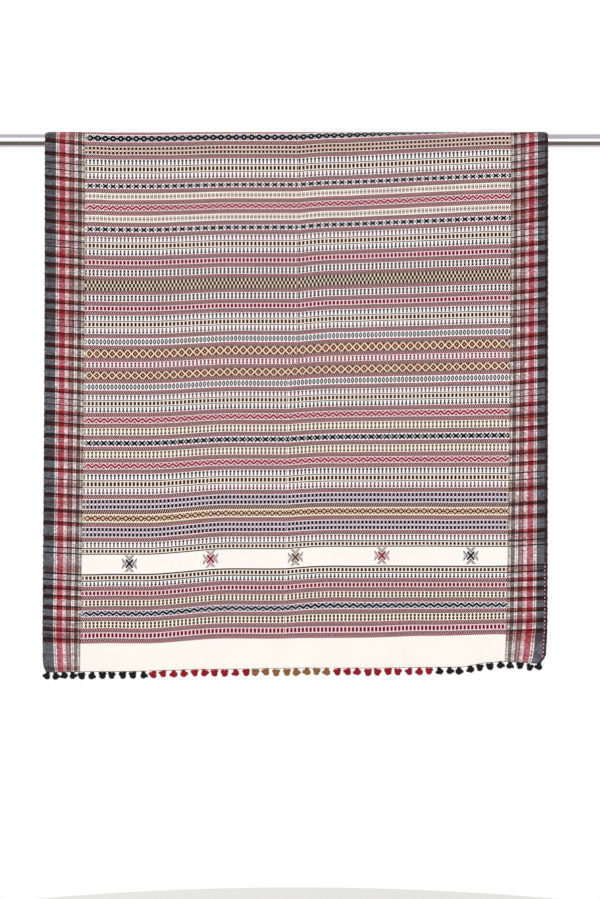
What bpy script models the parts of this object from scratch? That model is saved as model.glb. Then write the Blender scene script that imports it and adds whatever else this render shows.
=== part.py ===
"""A handwoven shawl hung over a round steel rail, with one end falling in front and the other behind.

Metres, +Z up. The origin is on the rail's axis, at the middle of the cloth's width. X runs along the rail and
the front of the shawl faces -Y. The cloth is one length of weaving. It is made here in stretches that meet with
a fine gap: three short arcs over the rail and the two ends that hang. Each hem carries a row of pompoms on
a narrow strip, one strip for each colour group.
"""

import math
from bisect import bisect_left
from collections import namedtuple

import bmesh
import bpy
from mathutils import Vector

# The rail
RAIL_DIAMETER = 0.025
RAIL_LENGTH = 1.28
RAIL_SIDES = 32

# The cloth
CLOTH_WIDTH = 1.0
WALL = 0.0016
SEAT_GAP = 0.0003
SEAM_GAP = 0.0003
FRONT_HEM_DROP = 1.0575
BACK_HEM_DROP = 1.0080
MID_RADIUS = RAIL_DIAMETER / 2 + SEAT_GAP + WALL / 2

# The arcs that the cloth over the rail is made in, from the front to the back
CROWN_ARCS = ("front", "top", "back")

# How finely the cloth is divided
ARC_STEPS = 6
COLUMN_STEPS = 26
ROW_STEPS = {"front": 22, "back": 16}
EDGE_CROWDING = 0.4
HEM_CROWDING = 1.5

# The woven side borders, how far up from the hem their corners curl, and how far each side has
# wandered sideways by the hem
BORDER_WIDTH = 0.083
CURL_REACH = 0.055
LEFT_DRIFT = -0.0050
RIGHT_DRIFT = -0.0020

# The pompoms
POMPOMS_PER_HEM = 50
POMPOM_SPAN = 0.978
STRIP_HEIGHT = 0.0025
ROOT_WIDTH = 0.0020
STRIP_GAP = 0.0006
SWAY = math.radians(7)
TURN = math.radians(22)
GOLDEN_ANGLE = math.radians(137.5)

# A hem's rise above its lowest level, by place across the width
HemStop = namedtuple("HemStop", "x rise")
FRONT_HEM = (
    HemStop(x=-0.50, rise=0.0000),
    HemStop(x=-0.38, rise=0.0005),
    HemStop(x=-0.19, rise=0.0045),
    HemStop(x=0.00, rise=0.0075),
    HemStop(x=0.21, rise=0.0085),
    HemStop(x=0.34, rise=0.0100),
    HemStop(x=0.39, rise=0.0185),
    HemStop(x=0.43, rise=0.0205),
    HemStop(x=0.50, rise=0.0175),
)
BACK_HEM = (
    HemStop(x=-0.50, rise=0.0190),
    HemStop(x=-0.22, rise=0.0150),
    HemStop(x=0.05, rise=0.0085),
    HemStop(x=0.30, rise=0.0060),
    HemStop(x=0.50, rise=0.0000),
)

# A soft upright fold: a ridge that stands out from the plane in which the cloth hangs.
# It begins some way below the rail, grows over a set length and leans sideways as it falls.
FOLD_GROWTH = 0.60
Fold = namedtuple("Fold", "x half_width depth begins lean")
FRONT_FOLDS = (
    Fold(x=-0.455, half_width=0.085, depth=0.0050, begins=0.30, lean=-0.010),
    Fold(x=-0.270, half_width=0.115, depth=0.0085, begins=0.12, lean=-0.025),
    Fold(x=-0.085, half_width=0.080, depth=0.0055, begins=0.35, lean=0.020),
    Fold(x=0.115, half_width=0.120, depth=0.0100, begins=0.08, lean=0.030),
    Fold(x=0.330, half_width=0.090, depth=0.0065, begins=0.25, lean=-0.015),
    Fold(x=0.465, half_width=0.070, depth=0.0045, begins=0.45, lean=0.010),
)
BACK_FOLDS = (
    Fold(x=-0.400, half_width=0.110, depth=0.0080, begins=0.15, lean=0.020),
    Fold(x=-0.180, half_width=0.100, depth=0.0060, begins=0.30, lean=-0.020),
    Fold(x=0.070, half_width=0.125, depth=0.0095, begins=0.10, lean=0.025),
    Fold(x=0.300, half_width=0.095, depth=0.0070, begins=0.28, lean=0.015),
    Fold(x=0.450, half_width=0.075, depth=0.0050, begins=0.40, lean=-0.010),
)

# How a corner of the cloth is drawn in and lifts outwards at the hem
Curl = namedtuple("Curl", "side inward lift")
FRONT_CURLS = (
    Curl(side=-1, inward=0.0075, lift=0.0040),
    Curl(side=1, inward=0.0135, lift=0.0060),
)
BACK_CURLS = (
    Curl(side=-1, inward=0.0090, lift=0.0050),
    Curl(side=1, inward=0.0070, lift=0.0040),
)

# One hanging end of the shawl. Facing is -1 for the front and 1 for the back.
Fall = namedtuple("Fall", "name facing hem_drop hem folds curls")
FALLS = (
    Fall("front", -1, FRONT_HEM_DROP, FRONT_HEM, FRONT_FOLDS, FRONT_CURLS),
    Fall("back", 1, BACK_HEM_DROP, BACK_HEM, BACK_FOLDS, BACK_CURLS),
)

# The pompoms of a hem by colour, from -X to +X
Group = namedtuple("Group", "name material count")
GROUPS = (
    Group("black_left", "black wool", 11),
    Group("crimson_left", "crimson wool", 10),
    Group("ochre", "ochre wool", 8),
    Group("crimson_right", "crimson wool", 10),
    Group("black_right", "black wool", 11),
)

# The rings of one lock of a pompom: how far below its root, and its half width and centre across
Ring = namedtuple("Ring", "below half_width across")
LOCK_RINGS = (
    Ring(below=0.0085, half_width=0.0037, across=0.0040),
    Ring(below=0.0150, half_width=0.0019, across=0.0046),
)

# Base colour, roughness and metallic value of each material
Finish = namedtuple("Finish", "colour roughness metallic")
FINISHES = {
    "brushed steel": Finish((0.56, 0.55, 0.56), 0.30, 1.0),
    "banded weave": Finish((0.485, 0.352, 0.342), 0.90, 0.0),
    "black wool": Finish((0.012, 0.011, 0.013), 0.95, 0.0),
    "crimson wool": Finish((0.280, 0.010, 0.020), 0.95, 0.0),
    "ochre wool": Finish((0.340, 0.160, 0.050), 0.95, 0.0),
}


def clear_scene():
    for obj in list(bpy.data.objects):
        bpy.data.objects.remove(obj, do_unlink=True)


def make_material(name):
    finish = FINISHES[name]
    material = bpy.data.materials.get(name)
    if material is None:
        material = bpy.data.materials.new(name)
        material.use_nodes = True
        shader = material.node_tree.nodes["Principled BSDF"]
        shader.inputs["Base Color"].default_value = (*finish.colour, 1.0)
        shader.inputs["Roughness"].default_value = finish.roughness
        shader.inputs["Metallic"].default_value = finish.metallic
    return material


def add_object(name, shape, material):
    """Close the mesh's winding and put it in the scene as one named piece."""
    bmesh.ops.recalc_face_normals(shape, faces=shape.faces)
    mesh = bpy.data.meshes.new(name)
    shape.to_mesh(mesh)
    shape.free()
    mesh.materials.append(make_material(material))
    mesh.shade_smooth()
    mesh.set_sharp_from_angle(angle=math.radians(40))
    obj = bpy.data.objects.new(name, mesh)
    bpy.context.scene.collection.objects.link(obj)
    return obj


def smooth_step(value):
    held = min(max(value, 0.0), 1.0)
    return held * held * (3 - 2 * held)


def hem_rise(stops, x):
    """A smooth curve through the hem's stops, with no bump between two of them."""
    for before, after in zip(stops, stops[1:]):
        if x <= after.x:
            share = (x - before.x) / (after.x - before.x)
            blend = 0.5 * share + 0.5 * smooth_step(share)
            return before.rise + (after.rise - before.rise) * blend
    return stops[-1].rise


def fold_height(fold, x, drop):
    """How far a fold stands out of the cloth's plane at this place."""
    grown = smooth_step((drop - fold.begins) / FOLD_GROWTH)
    middle = fold.x + fold.lean * drop
    across = abs(x - middle) / fold.half_width
    if across >= 1:
        return 0.0
    return fold.depth * grown * 0.5 * (1 + math.cos(math.pi * across))


def fall_point(fall, x, share):
    """A point half way through the cloth's wall: x across it, and share 0 at the rail and 1 at the hem."""
    hem_drop = fall.hem_drop - hem_rise(fall.hem, x)
    drop = SEAM_GAP + share * (hem_drop - SEAM_GAP)
    out = MID_RADIUS + sum(fold_height(fold, x, drop) for fold in fall.folds)
    toward_right = x / CLOTH_WIDTH + 0.5
    place = x + (LEFT_DRIFT + (RIGHT_DRIFT - LEFT_DRIFT) * toward_right) * share * share
    for curl in fall.curls:
        into_border = (curl.side * x - CLOTH_WIDTH / 2 + BORDER_WIDTH) / BORDER_WIDTH
        near_hem = (drop - hem_drop + CURL_REACH) / CURL_REACH
        strength = max(into_border, 0.0) * smooth_step(near_hem)
        place -= curl.side * curl.inward * strength
        out += curl.lift * strength
    return Vector((place, fall.facing * out, -drop))


def fall_normal(fall, x, share):
    """The direction that the cloth's outer face looks in, level enough for the hem to stay flat."""
    step = 0.002
    across = fall_point(fall, x + step, share) - fall_point(fall, x - step, share)
    down = fall_point(fall, x, min(share + step, 1.0)) - fall_point(fall, x, max(share - step, 0.0))
    normal = across.cross(down)
    normal.z = 0.0
    normal.normalize()
    return normal if normal.y * fall.facing > 0 else -normal


def column_places():
    """The places across the width at which the cloth is divided, closer together near its sides."""
    places = []
    for index in range(COLUMN_STEPS + 1):
        share = 2 * index / COLUMN_STEPS - 1
        eased = (1 - EDGE_CROWDING) * share + EDGE_CROWDING * math.sin(share * math.pi / 2)
        places.append(eased * CLOTH_WIDTH / 2)
    return places


def row_shares(name):
    """The shares of the drop at which the cloth is divided, closer together near the hem."""
    steps = ROW_STEPS[name]
    return [1 - (1 - index / steps) ** HEM_CROWDING for index in range(steps + 1)]


def slab(outer, inner):
    """A closed sheet from two equal grids of points, one for each of its faces."""
    shape = bmesh.new()
    faces = []
    for grid in (outer, inner):
        faces.append([[shape.verts.new(point) for point in row] for row in grid])
    rows = len(outer)
    columns = len(outer[0])
    for grid in faces:
        for r in range(rows - 1):
            for c in range(columns - 1):
                shape.faces.new((grid[r][c], grid[r][c + 1], grid[r + 1][c + 1], grid[r + 1][c]))
    border = [(0, c) for c in range(columns)]
    border += [(r, columns - 1) for r in range(1, rows)]
    border += [(rows - 1, c) for c in range(columns - 2, -1, -1)]
    border += [(r, 0) for r in range(rows - 2, 0, -1)]
    front, rear = faces
    for (r, c), (next_r, next_c) in zip(border, border[1:] + border[:1]):
        shape.faces.new((front[r][c], front[next_r][next_c], rear[next_r][next_c], rear[r][c]))
    return shape


def make_rail():
    shape = bmesh.new()
    bmesh.ops.create_cone(
        shape,
        cap_ends=True,
        segments=RAIL_SIDES,
        radius1=RAIL_DIAMETER / 2,
        radius2=RAIL_DIAMETER / 2,
        depth=RAIL_LENGTH,
    )
    rail = add_object("rail", shape, "brushed steel")
    rail.rotation_euler = (0.0, math.pi / 2, 0.0)


def make_arc(name, first_angle, last_angle):
    """One arc of the cloth that lies over the rail, between two angles from the front round to the back."""
    grids = []
    for radius in (MID_RADIUS + WALL / 2, MID_RADIUS - WALL / 2):
        grid = []
        for index in range(ARC_STEPS + 1):
            angle = first_angle + (last_angle - first_angle) * index / ARC_STEPS
            y = -radius * math.cos(angle)
            z = radius * math.sin(angle)
            grid.append([Vector((x, y, z)) for x in (-CLOTH_WIDTH / 2, CLOTH_WIDTH / 2)])
        grids.append(grid)
    add_object("shawl_over_rail_" + name, slab(*grids), "banded weave")


def make_crown():
    """The stretch of cloth that lies over the rail, half way round it, in arcs short enough to be nearly flat."""
    turn = math.pi / len(CROWN_ARCS)
    half_gap = SEAM_GAP / MID_RADIUS / 2
    for index, name in enumerate(CROWN_ARCS):
        first_angle = turn * index + (half_gap if index > 0 else 0.0)
        last_angle = turn * (index + 1) - (half_gap if index < len(CROWN_ARCS) - 1 else 0.0)
        make_arc(name, first_angle, last_angle)


def make_fall(fall):
    """One hanging end, as a wall with its hem's slant, its folds and its curled corners."""
    outer = []
    inner = []
    for share in row_shares(fall.name):
        outer_row = []
        inner_row = []
        for x in column_places():
            point = fall_point(fall, x, share)
            half_wall = fall_normal(fall, x, share) * WALL / 2
            outer_row.append(point + half_wall)
            inner_row.append(point - half_wall)
        outer.append(outer_row)
        inner.append(inner_row)
    add_object("shawl_" + fall.name, slab(outer, inner), "banded weave")


def hem_place(fall, x):
    """The hem's point and outward direction at x, on the straight runs between the cloth's columns."""
    places = column_places()
    right = bisect_left(places, x)
    left = right - 1
    share = (x - places[left]) / (places[right] - places[left])
    point = fall_point(fall, places[left], 1.0).lerp(fall_point(fall, places[right], 1.0), share)
    normal = fall_normal(fall, places[left], 1.0).lerp(fall_normal(fall, places[right], 1.0), share)
    return point, normal


def pompom_places():
    """The places of all of one hem's pompoms across the width."""
    step = POMPOM_SPAN / (POMPOMS_PER_HEM - 1)
    return [-POMPOM_SPAN / 2 + step * index for index in range(POMPOMS_PER_HEM)]


def strip_stations(first, last, centres):
    """The places at which a strip is divided: both sides of each root, and the cloth's columns between."""
    roots = []
    for centre in centres:
        for side in (-1, 1):
            middle = centre + side * (ROOT_WIDTH / 2 + SEAM_GAP)
            roots.append((middle - ROOT_WIDTH / 2, middle + ROOT_WIDTH / 2))
    stations = {first, last}
    for low, high in roots:
        stations.update((low, high))
    for place in column_places():
        inside = first < place < last
        if inside and all(place < low - SEAM_GAP or place > high + SEAM_GAP for low, high in roots):
            stations.add(place)
    return sorted(stations), roots


def add_lock(shape, root, fall, side, order):
    """Grow one four-sided lock down from the face that its root leaves open."""
    centre = sum((vert.co for vert in root), Vector()) / 4
    turn = TURN * math.sin(GOLDEN_ANGLE * order)
    sway = SWAY * math.sin(2 * GOLDEN_ANGLE * order + 1)
    across = Vector((math.cos(turn), math.sin(turn), 0.0))
    outward = Vector((-math.sin(turn), math.cos(turn), 0.0)) * fall.facing
    above = root
    for ring in LOCK_RINGS:
        slide = side * (ring.across - ROOT_WIDTH / 2 - SEAM_GAP) + math.sin(sway) * ring.below
        middle = centre + across * slide + Vector((0.0, 0.0, -ring.below))
        width = across * ring.half_width
        depth = outward * ring.half_width
        corners = (middle - width + depth, middle + width + depth)
        corners += (middle + width - depth, middle - width - depth)
        below = [shape.verts.new(corner) for corner in corners]
        for index in range(4):
            after = (index + 1) % 4
            shape.faces.new((above[index], above[after], below[after], below[index]))
        above = below
    shape.faces.new(above)


def make_pompoms(fall, group, centres, first_order):
    """A narrow strip under the hem with its pompoms, each of two locks that part from the strip."""
    half_step = POMPOM_SPAN / (POMPOMS_PER_HEM - 1) / 2
    first = max(centres[0] - half_step + STRIP_GAP / 2, -CLOTH_WIDTH / 2)
    last = min(centres[-1] + half_step - STRIP_GAP / 2, CLOTH_WIDTH / 2)
    stations, roots = strip_stations(first, last, centres)
    shape = bmesh.new()
    sections = []
    for x in stations:
        point, normal = hem_place(fall, x)
        top = point - Vector((0.0, 0.0, SEAM_GAP))
        bottom = top - Vector((0.0, 0.0, STRIP_HEIGHT))
        half_wall = normal * WALL / 2
        corners = (top + half_wall, top - half_wall, bottom - half_wall, bottom + half_wall)
        sections.append([shape.verts.new(corner) for corner in corners])
    shape.faces.new(sections[0])
    shape.faces.new(sections[-1])
    for index, (before, after) in enumerate(zip(sections, sections[1:])):
        for corner in (0, 1, 3):
            following = (corner + 1) % 4
            shape.faces.new((before[corner], after[corner], after[following], before[following]))
        span = (stations[index], stations[index + 1])
        if span not in roots:
            shape.faces.new((before[2], after[2], after[3], before[3]))
            continue
        number = roots.index(span)
        open_face = (before[3], after[3], after[2], before[2])
        add_lock(shape, open_face, fall, -1 if number % 2 == 0 else 1, first_order + number // 2)
    add_object("pompoms_" + fall.name + "_" + group.name, shape, group.material)


def main():
    clear_scene()
    make_rail()
    make_crown()
    for fall in FALLS:
        make_fall(fall)
        places = pompom_places()
        done = 0
        for group in GROUPS:
            make_pompoms(fall, group, places[done : done + group.count], done)
            done += group.count


main()
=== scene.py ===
# %% [markdown]
# # A handwoven shawl over a steel rail
#
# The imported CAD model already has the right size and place: a round rail, a cloth that falls in front of it
# and behind it, and rows of pompoms at both hems. This lesson dresses it. It loads the model as a fixed
# frame, sets up the camera and the light, weaves the cloth band by band, ties the pompoms and brushes the
# steel.

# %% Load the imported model
import math
import random
from collections import namedtuple

import bmesh
import bpy
from mathutils import Matrix, Vector, noise


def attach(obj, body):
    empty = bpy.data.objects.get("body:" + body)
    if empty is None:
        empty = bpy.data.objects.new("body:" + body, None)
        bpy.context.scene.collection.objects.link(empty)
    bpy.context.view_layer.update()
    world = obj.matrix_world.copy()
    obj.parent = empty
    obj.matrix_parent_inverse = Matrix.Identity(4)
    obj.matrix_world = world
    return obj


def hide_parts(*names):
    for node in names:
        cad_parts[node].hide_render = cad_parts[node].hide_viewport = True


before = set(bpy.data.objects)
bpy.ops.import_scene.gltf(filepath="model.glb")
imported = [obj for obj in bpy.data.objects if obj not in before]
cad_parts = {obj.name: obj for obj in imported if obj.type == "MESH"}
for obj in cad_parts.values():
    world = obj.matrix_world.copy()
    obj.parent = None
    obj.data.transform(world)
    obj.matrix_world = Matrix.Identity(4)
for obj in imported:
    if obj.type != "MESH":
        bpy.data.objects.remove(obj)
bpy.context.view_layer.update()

# %% [markdown]
# ## The camera
#
# The photograph looks straight at the hanging cloth from some way off, so level lines stay level and the
# rail crosses the whole picture. One pixel is 1.988 mm at the front of the cloth. A vertical angle made
# from that height and the camera's distance gives the same framing at any picture size.

# %% Camera
MILLIMETRE = 0.001
PICTURE_ROWS = 899
ROW_HEIGHT = 1.988 * MILLIMETRE
CAMERA_DISTANCE = 4.5
CLOTH_FRONT = 0.0144
LOOK_AT_X = 0.007
LOOK_AT_Z = -0.616

camera_data = bpy.data.cameras.new("camera")
camera_data.sensor_fit = "VERTICAL"
camera_data.angle = 2 * math.atan(PICTURE_ROWS * ROW_HEIGHT / 2 / (CAMERA_DISTANCE - CLOTH_FRONT))
camera = bpy.data.objects.new("camera", camera_data)
camera.location = (LOOK_AT_X, -CAMERA_DISTANCE, LOOK_AT_Z)
camera.rotation_euler = (math.pi / 2, 0, 0)
bpy.context.scene.collection.objects.link(camera)
bpy.context.scene.camera = camera
print("vertical angle:", round(math.degrees(camera_data.angle), 2), "degrees")

# %% [markdown]
# ## A helper for drawing with nodes
#
# A material is a sheet of small nodes joined by wires. Written out one by one they hide the idea. So a
# small helper places a node and joins whatever it is given, a number or a wire. Sums are written with wires
# as with numbers, and each sum places the node that does it, so that a formula for a figure reads like
# arithmetic.

# %% Node helper
def by_node(operation):
    """A sum with wires that one Math node does."""
    return lambda wire, *others: wire.board.calc(operation, wire, *others)


class Wire:
    """What a node puts out. Of two masks, the lower is where both hold and the higher where either does."""

    def __init__(self, board, socket):
        self.board = board
        self.socket = socket

    def __rsub__(self, other):
        return self.board.calc("SUBTRACT", other, self)

    __add__, __sub__ = by_node("ADD"), by_node("SUBTRACT")
    __mul__, __truediv__ = by_node("MULTIPLY"), by_node("DIVIDE")
    __lt__, __gt__ = by_node("LESS_THAN"), by_node("GREATER_THAN")
    __and__, __or__ = by_node("MINIMUM"), by_node("MAXIMUM")
    __abs__, sine = by_node("ABSOLUTE"), by_node("SINE")
    floor, fraction = by_node("FLOOR"), by_node("FRACT")
    at_most, at_least = by_node("MINIMUM"), by_node("MAXIMUM")
    times_plus = by_node("MULTIPLY_ADD")


class Board:
    """Places nodes in one node tree and joins them."""

    def __init__(self, tree):
        self.tree = tree

    def place(self, kind, **settings):
        node = self.tree.nodes.new(kind)
        for name, value in settings.items():
            setattr(node, name, value)
        return node

    def feed(self, socket, value):
        """Joins a wire to a socket, or sets the socket to a number or a colour."""
        if isinstance(value, Wire):
            self.tree.links.new(value.socket, socket)
        else:
            socket.default_value = value

    def join(self, node, values, output=0):
        """Feeds the named or numbered inputs of a node and gives back one of its outputs."""
        for label, value in values.items():
            self.feed(node.inputs[label], value)
        return Wire(self, node.outputs[output])

    def read(self, kind, output, **settings):
        """An output of a new node that needs no input."""
        return self.join(self.place(kind, **settings), {}, output)

    def calc(self, operation, *values):
        return self.join(self.place("ShaderNodeMath", operation=operation), dict(enumerate(values)))

    def mix(self, share, first, second, way="MIX"):
        node = self.place("ShaderNodeMix", data_type="RGBA", blend_type=way)
        return self.join(node, {0: share, 6: first, 7: second}, 2)

    def shaded(self, colour, level):
        """A colour made lighter or darker by a level round 1."""
        return self.mix(1.0, colour, self.joined(level, level, level), "MULTIPLY")

    def joined(self, x, y, z=0.0):
        return self.join(self.place("ShaderNodeCombineXYZ"), {0: x, 1: y, 2: z})

    def split(self, vector):
        node = self.place("ShaderNodeSeparateXYZ")
        self.feed(node.inputs[0], vector)
        return [Wire(self, socket) for socket in node.outputs]

    def cloudy(self, vector, scale=1.0, detail=2.0):
        node = self.place("ShaderNodeTexNoise")
        return self.join(node, {"Vector": vector, "Scale": scale, "Detail": detail}, "Fac")

    def stretched(self, parts, scales):
        """A cloudy noise that is drawn out along one direction."""
        return self.cloudy(self.joined(*[part * scale for part, scale in zip(parts, scales)]))

    def ramp(self, place, stops, blending="LINEAR"):
        """A strip of colours, read at a place from 0 to 1. Each stop is a position and a colour."""
        node = self.place("ShaderNodeValToRGB")
        strip = node.color_ramp
        strip.interpolation = blending
        for position, _ in stops[1:-1]:
            strip.elements.new(position)
        for element, (position, colour) in zip(strip.elements, stops):
            element.position = position
            element.color = colour
        return self.join(node, {0: place})

    def use(self, group, **values):
        """Places a node group and gives back its outputs by name."""
        node = self.place("ShaderNodeGroup", node_tree=group.tree)
        for label, value in values.items():
            self.feed(node.inputs[label], value)
        return {socket.name: Wire(self, socket) for socket in node.outputs}


def between(value, low, high):
    return (value > low) * (value < high)


def tone(red, green, blue):
    """A colour as it is picked on a screen, 0 to 255, turned into Blender's linear values."""
    scaled = [value / 255 for value in (red, green, blue)]
    return tuple(v / 12.92 if v <= 0.04045 else ((v + 0.055) / 1.055) ** 2.4 for v in scaled) + (1.0,)


print("white as linear:", [round(value, 3) for value in tone(240, 232, 230)])

# %% Groups and materials
def start_group(name, inputs, outputs):
    """A node group with named sockets. A word that ends in Colour makes a colour socket."""
    group = bpy.data.node_groups.new(name, "ShaderNodeTree")
    for direction, labels in (("INPUT", inputs), ("OUTPUT", outputs)):
        for label in labels:
            kind = "NodeSocketColor" if label.endswith("Colour") else "NodeSocketFloat"
            group.interface.new_socket(label, in_out=direction, socket_type=kind)
    board = Board(group)
    source = board.place("NodeGroupInput")
    given = {label: Wire(board, source.outputs[label]) for label in inputs}
    return board, given, board.place("NodeGroupOutput").inputs


def start_material(name, settings):
    """A material, its board and its shader. The settings are what is the same all over its surface."""
    material = bpy.data.materials.new(name)
    material.use_nodes = True
    shader = material.node_tree.nodes["Principled BSDF"]
    for label, value in settings.items():
        shader.inputs[label].default_value = value
    return material, Board(material.node_tree), shader


def add_relief(board, shader, height, strength, distance):
    """Turns a height into relief on the shader."""
    bump = board.place("ShaderNodeBump")
    relief = board.join(bump, {"Strength": strength, "Distance": distance, "Height": height})
    board.feed(shader.inputs["Normal"], relief)


print("node helpers are ready")

# %% [markdown]
# ## Light and floor
#
# The photograph is a studio shot on pure white with almost no shadow. A white sky does most of that. Two
# large soft lamps in front add just enough direction for the yarns to read. The floor is a pale disc that
# lies out of the main picture. A round steel bar shows only what it reflects, and the real studio had a
# grey ceiling, a bright window of lamps and a dark floor. So the sky has a second set of colours, which
# only reflections see.

# %% Sky
SKY_BOTTOM, SKY_TOP = 0.48, 0.93
SKY_BRIGHTENS_FROM, SKY_BRIGHTENS_TO = -0.25, 0.10
WHITE_LIGHT = (1.0, 1.0, 1.0)
CEILING, WINDOW = (0.60, 0.56, 0.63), (1.04, 1.04, 1.04)
DARK_FLOOR, PALE_WALL = (0.16, 0.14, 0.115), (0.72, 0.67, 0.72)
# What a reflection sees: the angle above the horizon in front, and a linear colour
REFLECTED = (
    (-180, PALE_WALL), (-108, PALE_WALL), (-98, DARK_FLOOR), (-26, DARK_FLOOR), (-20, WINDOW), (14, WINDOW),
    (22, CEILING), (180, CEILING),
)

scene = bpy.context.scene
scene.view_settings.view_transform = "Standard"
scene.world = bpy.data.worlds.new("studio")
scene.world.use_nodes = True
scene.world.node_tree.nodes.clear()
sky = Board(scene.world.node_tree)
_, depth, height = sky.split(sky.read("ShaderNodeTexCoord", "Generated"))
seen = sky.read("ShaderNodeLightPath", "Is Camera Ray")
glossy = sky.read("ShaderNodeLightPath", "Is Glossy Ray")
brightening = {"Value": height, "From Min": SKY_BRIGHTENS_FROM, "From Max": SKY_BRIGHTENS_TO}
brightening.update({"To Min": SKY_BOTTOM, "To Max": SKY_TOP})
shade = sky.join(sky.place("ShaderNodeMapRange"), brightening, "Result")
strength = sky.join(sky.place("ShaderNodeMix"), {"Factor": seen | glossy, "A": shade, "B": 1.0}, "Result")
tilt = sky.calc("ARCTAN2", height, depth * -1.0)
full_turn = {"Value": tilt, "From Min": -math.pi, "From Max": math.pi}
turn = sky.join(sky.place("ShaderNodeMapRange"), full_turn, "Result")
around = sky.ramp(turn, [(degrees / 360 + 0.5, colour + (1.0,)) for degrees, colour in REFLECTED])
tint = sky.mix(glossy, WHITE_LIGHT + (1.0,), around)
background = sky.join(sky.place("ShaderNodeBackground"), {"Color": tint, "Strength": strength})
sky.feed(sky.place("ShaderNodeOutputWorld").inputs["Surface"], background)
print("stops of the reflected room:", len(REFLECTED))

# %% Lamps and floor
Lamp = namedtuple("Lamp", "name place size power")
LAMPS = (
    Lamp("lamp_left", (-2.2, -3.2, 1.4), 2.2, 39),
    Lamp("lamp_right", (2.4, -3.4, 0.2), 2.4, 24),
)
FLOOR_LEVEL = -1.80
FLOOR_RADIUS = 1.6
FLOOR_SIDES = 96
FLOOR_PAINT = {"Base Color": (0.82, 0.82, 0.81, 1), "Roughness": 0.9}

for lamp in LAMPS:
    light = bpy.data.lights.new(lamp.name, "AREA")
    light.size = lamp.size
    light.energy = lamp.power
    holder = bpy.data.objects.new(lamp.name, light)
    holder.location = lamp.place
    aim = Vector((0, 0, LOOK_AT_Z)) - Vector(lamp.place)
    holder.rotation_euler = aim.to_track_quat("-Z", "Y").to_euler()
    scene.collection.objects.link(holder)

bpy.ops.object.select_all(action="DESELECT")
bpy.ops.mesh.primitive_circle_add(
    vertices=FLOOR_SIDES, radius=FLOOR_RADIUS, fill_type="NGON", location=(0, 0, FLOOR_LEVEL)
)
floor = bpy.context.object
floor.name = "floor"
floor.data.materials.append(start_material("pale floor", FLOOR_PAINT)[0])
floor.visible_glossy = False
print("lamps:", len(LAMPS))

# %% [markdown]
# ## The cloth's main measures
#
# The cloth is one length of weaving, 1.00 m wide and 2.10 m long. Its shape is the one that the CAD model
# has: it lies half way round the rail, falls on both sides, stands out in a few soft folds and lifts at its
# corners. The same values and formulas are written again here, because this script reads nothing but the
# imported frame.

# %% Measures of the cloth
CLOTH_WIDTH = 1.0
WALL = 1.6 * MILLIMETRE
SEAM_GAP = 0.3 * MILLIMETRE
MID_RADIUS = 13.6 * MILLIMETRE
CROWN_LENGTH = math.pi * MID_RADIUS
FOLD_GROWTH = 0.60
CURL_REACH = 0.055
BORDER_WIDTH = 0.083

Stop = namedtuple("Stop", "x rise")
Fold = namedtuple("Fold", "x half_width depth begins lean")
Curl = namedtuple("Curl", "side inward lift")
Fall = namedtuple("Fall", "name facing hem_drop hem folds curls")

FRONT = Fall(
    name="front",
    facing=-1,
    hem_drop=1.0575,
    hem=(
        Stop(-0.50, 0.0000), Stop(-0.38, 0.0005), Stop(-0.19, 0.0045), Stop(0.00, 0.0075), Stop(0.21, 0.0085),
        Stop(0.34, 0.0100), Stop(0.39, 0.0185), Stop(0.43, 0.0205), Stop(0.50, 0.0175),
    ),
    folds=(
        Fold(-0.455, 0.085, 0.0050, 0.30, -0.010), Fold(-0.270, 0.115, 0.0085, 0.12, -0.025),
        Fold(-0.085, 0.080, 0.0055, 0.35, 0.020), Fold(0.115, 0.120, 0.0100, 0.08, 0.030),
        Fold(0.330, 0.090, 0.0065, 0.25, -0.015), Fold(0.465, 0.070, 0.0045, 0.45, 0.010),
    ),
    curls=(Curl(-1, 0.0075, 0.0040), Curl(1, 0.0135, 0.0060)),
)
BACK = Fall(
    name="back",
    facing=1,
    hem_drop=1.0080,
    hem=(
        Stop(-0.50, 0.0190), Stop(-0.22, 0.0150), Stop(0.05, 0.0085), Stop(0.30, 0.0060), Stop(0.50, 0.0000),
    ),
    folds=(
        Fold(-0.400, 0.110, 0.0080, 0.15, 0.020), Fold(-0.180, 0.100, 0.0060, 0.30, -0.020),
        Fold(0.070, 0.125, 0.0095, 0.10, 0.025), Fold(0.300, 0.095, 0.0070, 0.28, 0.015),
        Fold(0.450, 0.075, 0.0050, 0.40, -0.010),
    ),
    curls=(Curl(-1, 0.0090, 0.0050), Curl(1, 0.0070, 0.0040)),
)


def smooth_step(value):
    held = min(max(value, 0.0), 1.0)
    return held * held * (3 - 2 * held)


def along(stops, place):
    """Reads a table of rows at a place between two of them: the first value of a row is its place."""
    if place <= stops[0][0]:
        return stops[0][1:]
    for before, after in zip(stops, stops[1:]):
        if place <= after[0]:
            share = (place - before[0]) / (after[0] - before[0])
            return [a + (b - a) * share for a, b in zip(before[1:], after[1:])]
    return stops[-1][1:]


def hem_level(fall, x):
    """How far below the rail's axis this hem hangs at x."""
    for before, after in zip(fall.hem, fall.hem[1:]):
        if x <= after.x:
            share = (x - before.x) / (after.x - before.x)
            blend = 0.5 * share + 0.5 * smooth_step(share)
            return fall.hem_drop - before.rise - (after.rise - before.rise) * blend
    return fall.hem_drop - fall.hem[-1].rise


print("round the rail:", round(CROWN_LENGTH * 1000, 1), "mm")

# %% [markdown]
# ## How the warp wanders
#
# The striped borders and the figured middle meet along two warp lines. Near the rail these lie 79.5 mm and
# 73.6 mm in from the sides, and the lines lean a few millimetres to the left on their way down, more than
# the sides do. The cloth is divided into columns so that one column edge follows each line.

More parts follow.
